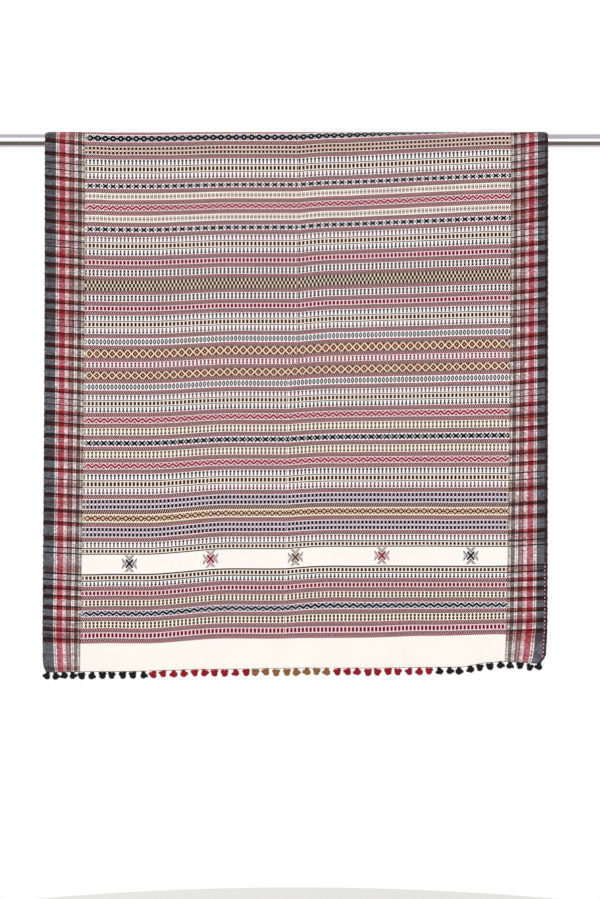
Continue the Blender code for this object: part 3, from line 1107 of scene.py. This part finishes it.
# %% Table of the figured finishes
WHITE = (247, 242, 242)
CREAM = (248, 240, 229)
Weave = namedtuple("Weave", "motif repeat figure second ground")
WEAVES = {
    "black diamonds": Weave("diamonds", WIDE, (6, 6, 16), (196, 196, 208), WHITE),
    "peach double dots": Weave("double dots", NARROW, (20, 4, 2), (214, 176, 164), (246, 230, 222)),
    "black heads up": Weave("heads up", NARROW, (28, 20, 20), (120, 108, 108), WHITE),
    "maroon heads up": Weave("heads up", NARROW, (98, 40, 50), (160, 130, 134), WHITE),
    "black heads down": Weave("heads down", NARROW, (28, 20, 20), (120, 108, 108), WHITE),
    "maroon heads down": Weave("heads down", NARROW, (98, 40, 50), (160, 130, 134), WHITE),
    "crimson heads down": Weave("heads down", NARROW, (108, 36, 50), (172, 136, 140), WHITE),
    "brown dots": Weave("dots", NARROW, (28, 8, 4), (232, 206, 184), (250, 238, 230)),
    "thin line": Weave("line", WIDE / 4, (52, 50, 44), (130, 126, 118), WHITE),
    "black crosses": Weave("crosses", WIDE, (8, 8, 14), (226, 220, 226), WHITE),
    "ticks": Weave("ticks", NARROW, (108, 84, 80), (226, 214, 206), CREAM),
    "crimson zigzag": Weave("zigzag", WIDE, (112, 2, 24), (240, 172, 182), (252, 232, 236)),
    "crimson dots": Weave("dots", NARROW, (88, 0, 16), (234, 166, 178), (250, 226, 230)),
    "black bars": Weave("bars", NARROW, (8, 6, 6), (176, 164, 162), WHITE),
    "checker": Weave("checker", NARROW, (2, 2, 2), (48, 20, 2), (232, 212, 194)),
    "rings": Weave("rings", NARROW, (0, 0, 4), (240, 238, 242), WHITE),
    "gold diamonds": Weave("filled diamonds", WIDE, (98, 52, 16), (226, 196, 172), (250, 226, 206)),
    "crimson bars": Weave("bars", NARROW, (104, 12, 28), (216, 160, 168), WHITE),
    "long bars": Weave("bars", NARROW, (74, 54, 44), (222, 206, 190), CREAM),
    "bold crosses": Weave("bold crosses", WIDE, (2, 2, 4), (206, 204, 216), WHITE),
    "lilac double dots": Weave("double dots", NARROW, (2, 1, 2), (196, 174, 188), (238, 234, 238)),
    "open diamonds": Weave("open diamonds", WIDE, (66, 24, 4), (228, 184, 156), (240, 220, 196)),
    "short bars": Weave("short bars", NARROW, (40, 18, 10), (170, 140, 120), (250, 240, 226)),
    "navy zigzag": Weave("dotted zigzag", WIDE, (0, 2, 10), (224, 224, 234), (250, 246, 250)),
}
print("figured finishes:", len(WEAVES))

# %% Finishes of the figured bands
MATT_CLOTH = {"Roughness": 0.92, "Specular IOR Level": 0.25, "Sheen Weight": 0.12}
CLOTH_BUMP, CLOTH_BUMP_DISTANCE = 0.5, 0.0005
YARN_RELIEF = 0.10
FIGURE_RELIEF = 0.6
EVEN_STREAKS = 0.22
# How strong a figure is: at the left border and its growth to a metre, and at its faintest in a patch
EDGE_STRENGTH, EDGE_GROWTH = 0.65, 36.0
PATCHY, FAINTEST, PATCH_GAIN = (110.0, 1.0), 0.86, 0.30

Cloth = namedtuple("Cloth", "board shader across up real_across real_along")
finishes = {}


def start_cloth(name):
    """A matt cloth material, and where a face lies in the weave map and in plain metres."""
    finishes[name], board, shader = start_material(name, MATT_CLOTH)
    places = []
    for label in ("weave", "cloth"):
        places += board.split(board.read("ShaderNodeUVMap", 0, uv_map=label))[:2]
    return Cloth(board, shader, *places)


def finish_cloth(cloth, colour, streaks=EVEN_STREAKS, raised=None):
    """Adds the yarns to a colour and joins colour and relief to the shader."""
    board = cloth.board
    woven = board.use(yarns, Colour=colour, Across=cloth.real_across, Along=cloth.real_along, Streaks=streaks)
    board.feed(cloth.shader.inputs["Base Color"], woven["Colour"])
    relief = woven["Height"] * YARN_RELIEF
    if raised is not None:
        relief = relief + raised * FIGURE_RELIEF
    add_relief(board, cloth.shader, relief, CLOTH_BUMP, CLOTH_BUMP_DISTANCE)


for name, weave in WEAVES.items():
    cloth = start_cloth(name)
    masks = cloth.board.use(motifs[weave.motif], Across=cloth.across, Up=cloth.up, Repeat=weave.repeat)
    grown = (cloth.real_across - FIELD_LEFT).times_plus(EDGE_GROWTH, EDGE_STRENGTH).at_most(1.0)
    patchy = cloth.board.stretched((cloth.real_across, cloth.real_along), PATCHY)
    strength = masks["Figure"] * (grown * patchy.times_plus(PATCH_GAIN, FAINTEST).at_most(1.0))
    colour = cloth.board.mix(masks["Second"], tone(*weave.ground), tone(*weave.second))
    colour = cloth.board.mix(strength, colour, tone(*weave.figure))
    finish_cloth(cloth, colour, raised=masks["Figure"])
print("finishes so far:", len(finishes))

# %% [markdown]
# ## Twill, white ground and stars
#
# Twill yarns pass over two and under two, one step further in every row, which draws fine slanting lines.
# The slant turns round between the pink row and the grey row. The star band and the end strip are plain
# white. A star is an eight-pointed figure: a bold slanting cross, and around it four arrows that open
# outwards, each with a fainter line beside it, on a pale tint of the same yarn. Its map starts at the
# star's own middle.

# %% Finishes: twill, plain white and stars
TWILL_REPEAT = 4.6 * MILLIMETRE
# Each twill: its dark yarn, its light yarn, and the slant of its lines
TWILLS = {
    "pink twill": ((70, 0, 10), (244, 180, 188), 1.1),
    "grey twill": ((16, 4, 4), (216, 178, 174), -1.1),
}
# A whole number of turns that keeps the sum above nought, and the light yarn's share of a turn
TURNS_ABOVE_NOUGHT = 1000.0
LIGHT_SHARE = 0.36
PLAIN_WHITE = (250, 246, 238)
PLAIN_STREAKS, STAR_STREAKS = 0.05, 0.06
STAR_TONES = {"black": (20, 18, 22), "crimson": (138, 20, 40), "brown": (96, 60, 32)}
# How a fainter part of a star lightens its yarn: parts of a light grey, that grey, and what divides the sum
TINT_SHADE, FAINT_SHADE, ARROW_SHADE = (5, 246, 6.2), (2, 168, 3), (1, 30, 1.5)
STAR_BAND_HEIGHT = 35.9 * MILLIMETRE
STAR_MIDDLE = 0.53
STAR_WIDTH = 0.92
# Both are lengths in metres: how far out the cross and the arrows reach, and how far each lies off the slant
CROSS_REACH, ARROW_REACH = 0.0084, 0.0162
CROSS_LINE, CROSS_TINT = 0.0028, 0.0050
ARROW_LINE, FAINT_LINE, ARROW_TINT = (0.0056, 0.0080), (0.0106, 0.0120), (0.0056, 0.0124)

def lightened(colour, parts, light, whole):
    return [(value + parts * light) / whole for value in colour]


for name, (dark, light, slant) in TWILLS.items():
    cloth = start_cloth(name)
    turns = cloth.across / TWILL_REPEAT + cloth.up / slant
    slanting = (turns + TURNS_ABOVE_NOUGHT).fraction() < LIGHT_SHARE
    finish_cloth(cloth, cloth.board.mix(slanting, tone(*dark), tone(*light)), raised=slanting)

for name in ("plain white", "end strip"):
    finish_cloth(start_cloth(name), tone(*PLAIN_WHITE), streaks=PLAIN_STREAKS)

for name, dark in STAR_TONES.items():
    cloth = start_cloth(name + " star")
    across = abs(cloth.across / STAR_WIDTH)
    up = abs((cloth.up - STAR_MIDDLE) * STAR_BAND_HEIGHT)
    longer, shorter = across | up, across & up
    apart = longer - shorter
    cross = (apart < CROSS_LINE) & (longer < CROSS_REACH)
    cross_tint = (apart < CROSS_TINT) & (longer < CROSS_REACH)
    arrow, faint, arrow_tint = (
        between(apart, *band) & (longer < ARROW_REACH) for band in (ARROW_LINE, FAINT_LINE, ARROW_TINT)
    )
    tints = (
        (cross_tint | arrow_tint, lightened(dark, *TINT_SHADE)),
        (faint, lightened(dark, *FAINT_SHADE)),
        (arrow, lightened(dark, *ARROW_SHADE)),
        (cross, dark),
    )
    colour = tone(*PLAIN_WHITE)
    for mask, tint in tints:
        colour = cloth.board.mix(mask, colour, tone(*tint))
    finish_cloth(cloth, colour, streaks=STAR_STREAKS, raised=cross)
print("finishes so far:", len(finishes))

# %% [markdown]
# ## The striped borders
#
# Along both sides run coloured warp stripes. Every weft of the middle crosses them too: the pink row as
# maroon, the grey row as black, and each thin line as a black line. So the borders need the same stripes in
# three states. The table lists each stripe with the place where it ends, counted from the cloth's edge, and
# its colour in each state. One group turns the table into three colour ramps. Between the lines the wefts
# are heathered, so the stripes darken and lighten in fine ribs, and low on the right a column of pale
# specks runs in the selvedge.

# %% Table of the stripes
Stripe = namedtuple("Stripe", "ends plain maroon black")
STRIPES = (
    Stripe(20.7, (95, 94, 101), (52, 18, 26), (18, 15, 20)),
    Stripe(22.6, (222, 222, 216), (169, 118, 112), (87, 81, 79)),
    Stripe(24.9, (170, 160, 156), (110, 55, 52), (49, 41, 39)),
    Stripe(26.6, (242, 214, 214), (180, 110, 109), (90, 68, 68)),
    Stripe(38.0, (172, 98, 110), (134, 10, 20), (56, 6, 14)),
    Stripe(42.0, (228, 192, 194), (173, 92, 92), (81, 56, 57)),
    Stripe(45.5, (204, 188, 184), (138, 77, 74), (65, 53, 52)),
    Stripe(47.6, (108, 84, 86), (74, 22, 28), (34, 22, 26)),
    Stripe(51.5, (164, 128, 134), (116, 28, 38), (54, 28, 34)),
    Stripe(55.3, (128, 104, 108), (88, 26, 32), (40, 24, 28)),
    Stripe(57.3, (232, 220, 218), (173, 123, 118), (87, 78, 75)),
    Stripe(59.2, (176, 166, 164), (109, 61, 57), (48, 39, 38)),
    Stripe(61.2, (228, 216, 214), (169, 120, 114), (85, 75, 73)),
    Stripe(68.9, (126, 114, 112), (84, 38, 32), (42, 32, 28)),
    Stripe(70.6, (232, 222, 218), (175, 129, 121), (88, 80, 77)),
    Stripe(74.6, (168, 162, 156), (118, 74, 68), (56, 50, 46)),
)
print("stripes:", len(STRIPES))

# %% Finishes of the borders
SELVEDGE = 6.0 * MILLIMETRE
SELVEDGE_FROM = RIGHT_BORDER_AT - 0.005
SELVEDGE_TONE = (52, 40, 45)
SELVEDGE_SHADES = {"Plain": 1.3, "Maroon": 0.6, "Black": 0.6}
BORDER_STREAKS = 0.8
# A black crossing shows maroon in its middle, so far up and down
BLACK_MIDDLE = 0.29
# The heathered ground: its wefts to a metre, how a noise becomes a share of maroon, and where it is read
HEATHER = 0.68
HEATHER_WEFTS, HEATHER_GAIN, HEATHER_SHIFT = 62.0, 6.0, -2.9
HEATHER_SLICE = 0.3
RIBS = (150.0, 330.0)
RIB_CONTRAST, DARKEST_RIB = 2.8, 0.2
# The pale specks, in metres: from one to the next, where across the selvedge and where down the cloth
SPECK_STEP, SPECK_SHARE = 0.0077, 0.45
SPECK_ACROSS, SPECK_DOWN = (0.0040, 0.0058), (0.842, 1.03)
SPECK_TONE = (206, 164, 172)

stripes, given, asked = start_group(
    "border stripes", ["Across"], ["Plain Colour", "Maroon Colour", "Black Colour"]
)
inward = stripes.calc("MODULO", given["Across"], RIGHT_BORDER_AT)
selvedge = (given["Across"] > SELVEDGE_FROM) & (inward < SELVEDGE)
starts = [0.0] + [stripe.ends * MILLIMETRE / RIGHT_BORDER_AT for stripe in STRIPES[:-1]]
for state, shade in SELVEDGE_SHADES.items():
    stops = [(start, tone(*getattr(stripe, state.lower()))) for start, stripe in zip(starts, STRIPES)]
    striped = stripes.ramp(inward / RIGHT_BORDER_AT, stops, "CONSTANT")
    edge = tone(*[value * shade for value in SELVEDGE_TONE])
    stripes.feed(asked[state + " Colour"], stripes.mix(selvedge, striped, edge))

for crossing, state in (("plain", "Plain"), ("maroon", "Maroon"), ("black", "Black"), ("thin", "Black")):
    cloth = start_cloth("border " + crossing)
    board = cloth.board
    striped = board.use(stripes, Across=cloth.across)
    colour, maroon = striped[state + " Colour"], striped["Maroon Colour"]
    if crossing == "black":
        colour = board.mix(abs(cloth.up - 0.5) < BLACK_MIDDLE, maroon, colour)
    if crossing == "plain":
        drift = board.cloudy(board.joined(HEATHER_SLICE, cloth.real_along * HEATHER_WEFTS), detail=1.0)
        shaded = drift.times_plus(HEATHER_GAIN, HEATHER_SHIFT) * HEATHER
        colour = board.mix(shaded.at_least(0.0).at_most(HEATHER), colour, maroon)
    ribs = board.stretched((cloth.real_across, cloth.real_along), RIBS)
    colour = board.shaded(colour, ribs.times_plus(RIB_CONTRAST, 1 - RIB_CONTRAST / 2).at_least(DARKEST_RIB))
    beat = (cloth.real_along / SPECK_STEP).fraction() < SPECK_SHARE
    inside = between(cloth.across - RIGHT_BORDER_AT, *SPECK_ACROSS)
    specks = inside & beat & between(cloth.real_along, *SPECK_DOWN)
    finish_cloth(cloth, board.mix(specks, colour, tone(*SPECK_TONE)), streaks=BORDER_STREAKS)
print("finishes in all:", len(finishes))

# %% [markdown]
# ## Hanging the cloth
#
# Now the rows, the shape and the finishes come together. The cloth is woven as two closed stretches, one
# that is seen in front and over the rail, and one behind. They meet along one weft, 0.3 mm apart. Each
# takes the place of the plain nodes of the CAD model that stand for the same stretch.

# %% The two stretches of cloth
front_cloth = weave_stretch("cloth_front", front_part, 1)
back_cloth = weave_stretch("cloth_back", back_part, -1)
for piece in (front_cloth, back_cloth):
    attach(piece, "root")
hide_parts("shawl_front", "shawl_over_rail_front", "shawl_over_rail_top")
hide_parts("shawl_back", "shawl_over_rail_back")
print("faces of cloth:", len(front_cloth.data.polygons), len(back_cloth.data.polygons))

# %% [markdown]
# ## The steel rail
#
# The rail is a drawn steel tube of 25 mm, polished along its length. Rounder than the CAD model's, it is a
# cylinder of 96 sides whose ends get a small rounded edge. Polishing leaves fine lengthwise lines, so a
# noise that is stretched along the rail changes its colour and roughness a little.

# %% Rail
RAIL_RADIUS = 0.0125
RAIL_LENGTH = 1.28
RAIL_SIDES = 96
END_ROUNDING = 0.0008
ROUNDING_STEPS = 3
ROUNDING_ANGLE, SMOOTH_ANGLE = math.radians(40), math.radians(35)

bpy.ops.object.select_all(action="DESELECT")
bpy.ops.mesh.primitive_cylinder_add(
    vertices=RAIL_SIDES, radius=RAIL_RADIUS, depth=RAIL_LENGTH, rotation=(0, math.pi / 2, 0)
)
rail = bpy.context.object
rail.name = "steel_rail"
bpy.ops.object.transform_apply(location=True, rotation=True, scale=True)
rounding = rail.modifiers.new("rounding", "BEVEL")
rounding.width = END_ROUNDING
rounding.segments = ROUNDING_STEPS
rounding.limit_method = "ANGLE"
rounding.angle_limit = ROUNDING_ANGLE
bpy.ops.object.modifier_apply(modifier=rounding.name)
bpy.ops.object.shade_smooth_by_angle(angle=SMOOTH_ANGLE)
print("rail faces:", len(rail.data.polygons))

# %% Finish of the rail
POLISH_LINES, SMEARS = (3.0, 900.0, 900.0), (9.0, 60.0, 60.0)
STEEL_TONES = (222, 219, 222), (240, 238, 240)
SMOOTHEST, SMEAR_ROUGHNESS = 0.10, 0.10

brushed, _, asked = start_group("brushed steel", [], ["Colour", "Roughness"])
place = brushed.split(brushed.read("ShaderNodeTexCoord", "Object"))
dull, bright = (tone(*colour) for colour in STEEL_TONES)
brushed.feed(asked["Colour"], brushed.mix(brushed.stretched(place, POLISH_LINES), dull, bright))
brushed.feed(asked["Roughness"], brushed.stretched(place, SMEARS).times_plus(SMEAR_ROUGHNESS, SMOOTHEST))

steel, board, shader = start_material("brushed steel", {"Metallic": 1.0})
brushing = board.use(brushed)
board.feed(shader.inputs["Base Color"], brushing["Colour"])
board.feed(shader.inputs["Roughness"], brushing["Roughness"])
rail.data.materials.clear()
rail.data.materials.append(steel)
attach(rail, "root")
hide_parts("rail")
print("rail finish:", steel.name)

# %% [markdown]
# ## Cut wool
#
# A pompom is a bundle of wool cut short. No yarn of it can be told apart at this size: what shows is a dark,
# soft surface with lighter and darker tufts. A noise of about a millimetre lifts the surface and changes the
# colour with it, so the lower places are painted darker: painted shade between the tufts, over the wool's own
# uneven tone.

# %% Finish of the wool
WOOLS = {"black wool": (24, 21, 23), "crimson wool": (164, 16, 40), "ochre wool": (156, 108, 62)}
MATT_WOOL = {"Roughness": 0.95, "Specular IOR Level": 0.15, "Sheen Weight": 0.15}
TUFT_SCALE, TUFT_DETAIL = 950.0, 3.0
# How strongly the colour follows the tufts' height, and its darkest level: painted shade in the lowest places
TUFT_TONE_AND_SHADE_CONTRAST, DARKEST_TUFT_TONE_AND_SHADE = 1.7, 0.15
TUFT_BUMP, TUFT_BUMP_DISTANCE = 0.6, 0.0008

tufted, given, asked = start_group("cut wool", ["Colour"], ["Colour", "Height"])
tufts = tufted.cloudy(tufted.read("ShaderNodeTexCoord", "Object"), TUFT_SCALE, TUFT_DETAIL)
# The colour follows the same noise as the height, darker where the wool is lower: painted shade between the
# tufts, over the wool's own uneven tone
tufted.feed(asked["Colour"], tufted.shaded(given["Colour"], tufts.times_plus(TUFT_TONE_AND_SHADE_CONTRAST, DARKEST_TUFT_TONE_AND_SHADE)))
tufted.feed(asked["Height"], tufts)

wools = {}
for name, colour in WOOLS.items():
    wools[name], board, shader = start_material(name, MATT_WOOL)
    tuft = board.use(tufted, Colour=tone(*colour))
    board.feed(shader.inputs["Base Color"], tuft["Colour"])
    add_relief(board, shader, tuft["Height"], TUFT_BUMP, TUFT_BUMP_DISTANCE)
print("wools:", len(wools))

# %% [markdown]
# ## The shape of a pompom
#
# The pompoms aren't round. Each hangs askew from its knot, with a heavy body, a small head at the hem and a
# tuft that sticks out to one side, a little like a resting duck. So each is three soft lobes that run into
# each other. Every lobe is a lumpy ball with short three-sided locks standing out of it, spread by the
# golden angle, which fills a ball evenly without any row showing.

# %% Locks and lobes
Lobe = namedtuple("Lobe", "across up radius stretch locks")
LOBES = (
    Lobe(0.4, -2.2, 5.4, 1.12, 66),
    Lobe(-3.6, 0.4, 3.6, 1.45, 38),
    Lobe(1.6, 3.8, 3.5, 1.10, 36),
)
GOLDEN_ANGLE = math.radians(137.5)
LOBE_DEPTH = 0.92
LUMP_DEPTH, LUMP_SIZE = 0.16, 2.3
# How far the lumps move on from one lobe to the next, for each metre between them
LUMP_SHIFT = 900
# Where a lock's two rings lie along it, with their thickness, and how deep it is rooted in its lobe
LOCK_SIDES = 3
LOCK_RINGS = ((-0.3, 1.0), (0.5, 0.85))
LOCK_ROOT = 0.86
# How far sizes and turns stray: shares of a radius and radians, and millimetres for a lock
LOBE_SIZES, LOCK_TURN = (0.9, 1.08), 0.2
LOCK_BEND, LOCK_LENGTHS, LOCK_WIDTHS = 0.5, (1.5, 2.7), (0.55, 0.85)


def add_lock(shape, root, direction, length, width, bend):
    """One three-sided lock of wool: it leaves the lobe, bends once and ends in a point."""
    side = direction.orthogonal().normalized()
    other = direction.cross(side)
    rings = []
    for along_lock, thick in LOCK_RINGS:
        middle = root + direction * length * along_lock + bend * along_lock * along_lock
        ring = []
        for corner in range(LOCK_SIDES):
            angle = corner * math.tau / LOCK_SIDES
            spoke = side * math.cos(angle) + other * math.sin(angle)
            ring.append(shape.verts.new(middle + spoke * width * thick))
        rings.append(ring)
    inner, outer = rings
    tip = shape.verts.new(root + direction * length + bend)
    shape.faces.new(reversed(inner))
    for corner in range(LOCK_SIDES):
        after = (corner + 1) % LOCK_SIDES
        shape.faces.new((inner[corner], inner[after], outer[after], outer[corner]))
        shape.faces.new((outer[corner], outer[after], tip))


def add_lobe(shape, centre, lobe, turn, chance):
    """A lumpy ball of cut wool with locks standing out of it all round."""
    grown = bmesh.ops.create_icosphere(shape, subdivisions=2, radius=1.0)["verts"]
    radius = lobe.radius * MILLIMETRE * chance.uniform(*LOBE_SIZES)
    lump = Vector((centre.x * LUMP_SHIFT, 0, 0))
    for vert in grown:
        rough = 1 + LUMP_DEPTH * noise.noise(vert.co * LUMP_SIZE + lump)
        ball = Vector((vert.co.x * lobe.stretch, vert.co.y * LOBE_DEPTH, vert.co.z))
        vert.co = centre + turn @ ball * radius * rough
    for number in range(lobe.locks):
        up = 1 - 2 * (number + 0.5) / lobe.locks
        level = math.sqrt(1 - up * up)
        around = number * GOLDEN_ANGLE + chance.uniform(-LOCK_TURN, LOCK_TURN)
        direction = turn @ Vector((level * math.cos(around) * lobe.stretch, level * math.sin(around), up))
        root = centre + direction * radius * LOCK_ROOT
        bend = Vector([chance.uniform(-LOCK_BEND, LOCK_BEND) * MILLIMETRE for _ in range(3)])
        length = chance.uniform(*LOCK_LENGTHS) * MILLIMETRE
        width = chance.uniform(*LOCK_WIDTHS) * MILLIMETRE
        add_lock(shape, root, direction.normalized(), length, width, bend)


print("locks on a pompom:", sum(lobe.locks for lobe in LOBES))

# %% [markdown]
# ## Tying them to the hem
#
# Fifty pompoms hang at each hem, and their colours come in five groups: black, crimson, ochre, crimson,
# black. Each group is one piece. A fine thread of the same wool runs along the hem behind its pompoms and
# holds them together. Places, sizes and turns are drawn with a fixed seed, so every run ties the same
# pompoms.

# %% Pompoms and their thread
POMPOMS_PER_HEM = 50
POMPOM_SPAN = 0.9945
POMPOM_STEP = POMPOM_SPAN / (POMPOMS_PER_HEM - 1)
CENTRE_BELOW_HEM = 7.4 * MILLIMETRE
# How far a pompom strays along the hem and up or down, its tilt in radians, and its lobes' depth
STRAY_ALONG, STRAY_DOWN, TILT, STRAY_DEEP = 1.3, 1.2, 0.7, 0.8
THREAD_RADIUS = 0.7 * MILLIMETRE
THREAD_BELOW_HEM = 0.5 * MILLIMETRE
THREAD_STEP = 7.0 * MILLIMETRE
THREAD_SIDES = ((0, -1), (1, 0), (0, 1), (-1, 0))
# In steps between pompoms: how far a thread reaches past its first one, and what it leaves free in all
THREAD_PAST, THREAD_FREE = 0.42, 0.16
THREAD_ENDS = 0.499
SEED = 11
Group = namedtuple("Group", "name wool slot count")
GROUPS = (
    Group("black_left", "black wool", "black_wool", 11),
    Group("crimson_left", "crimson wool", "crimson_wool", 10),
    Group("ochre", "ochre wool", "ochre_wool", 8),
    Group("crimson_right", "crimson wool", "crimson_wool", 10),
    Group("black_right", "black wool", "black_wool", 11),
)


def add_thread(shape, fall, first, last):
    """A four-sided thread under the hem between two places across the cloth."""
    steps = max(2, round((last - first) / THREAD_STEP))
    before = None
    for step in range(steps + 1):
        x = first + (last - first) * step / steps
        middle = hanging_point(fall, x, hem_level(fall, x)) - Vector((0, 0, THREAD_BELOW_HEM))
        ring = [shape.verts.new(middle + Vector((0, y, z)) * THREAD_RADIUS) for y, z in THREAD_SIDES]
        if before is None:
            shape.faces.new(ring)
        else:
            for corner in range(len(ring)):
                after = (corner + 1) % len(ring)
                shape.faces.new((before[after], before[corner], ring[corner], ring[after]))
        before = ring
    shape.faces.new(reversed(before))


def make_pompoms(fall, group, first, chance):
    """All pompoms of one colour group, on the fine thread that ties them to the hem."""
    shape = bmesh.new()
    for number in range(first, first + group.count):
        x = -POMPOM_SPAN / 2 + POMPOM_STEP * number + chance.uniform(-STRAY_ALONG, STRAY_ALONG) * MILLIMETRE
        below = CENTRE_BELOW_HEM + chance.uniform(-STRAY_DOWN, STRAY_DOWN) * MILLIMETRE
        centre = hanging_point(fall, x, hem_level(fall, x)) - Vector((0, 0, below))
        mirror = chance.choice((-1, 1))
        turn = Matrix.Rotation(chance.uniform(-TILT, TILT), 3, Vector((0, 1, 0)))
        for lobe in LOBES:
            deep = chance.uniform(-STRAY_DEEP, STRAY_DEEP)
            away = turn @ Vector((lobe.across * mirror, deep, lobe.up)) * MILLIMETRE
            add_lobe(shape, centre + away, lobe, turn, chance)
    start = -POMPOM_SPAN / 2 + POMPOM_STEP * (first - THREAD_PAST)
    end = start + POMPOM_STEP * (group.count - THREAD_FREE)
    add_thread(shape, fall, max(start, -THREAD_ENDS), min(end, THREAD_ENDS))
    name = fall.name + "_" + group.name
    piece = finished_piece("wool_" + name, shape, [wools[group.wool]])
    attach(piece, "root")
    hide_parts("pompoms_" + name)
    return piece


chance = random.Random(SEED)
tied = {}
for fall in (FRONT, BACK):
    done = 0
    tied[fall.name] = []
    for group in GROUPS:
        tied[fall.name].append(make_pompoms(fall, group, done, chance))
        done += group.count
print("groups of pompoms:", sum(len(group) for group in tied.values()))

# %% [markdown]
# ## What the sheets are cut from
#
# The whole shawl is one rectangle of weaving, 1.00 m wide and 2.10 m long, with its pompoms sewn on. The
# two stretches divide that length: the front one with the crown takes 1.10 m of it and the back one 1.00 m.
# Both are draped over the rail and held by their own weight.

# %% The two stretches
print("sheets:", 2)
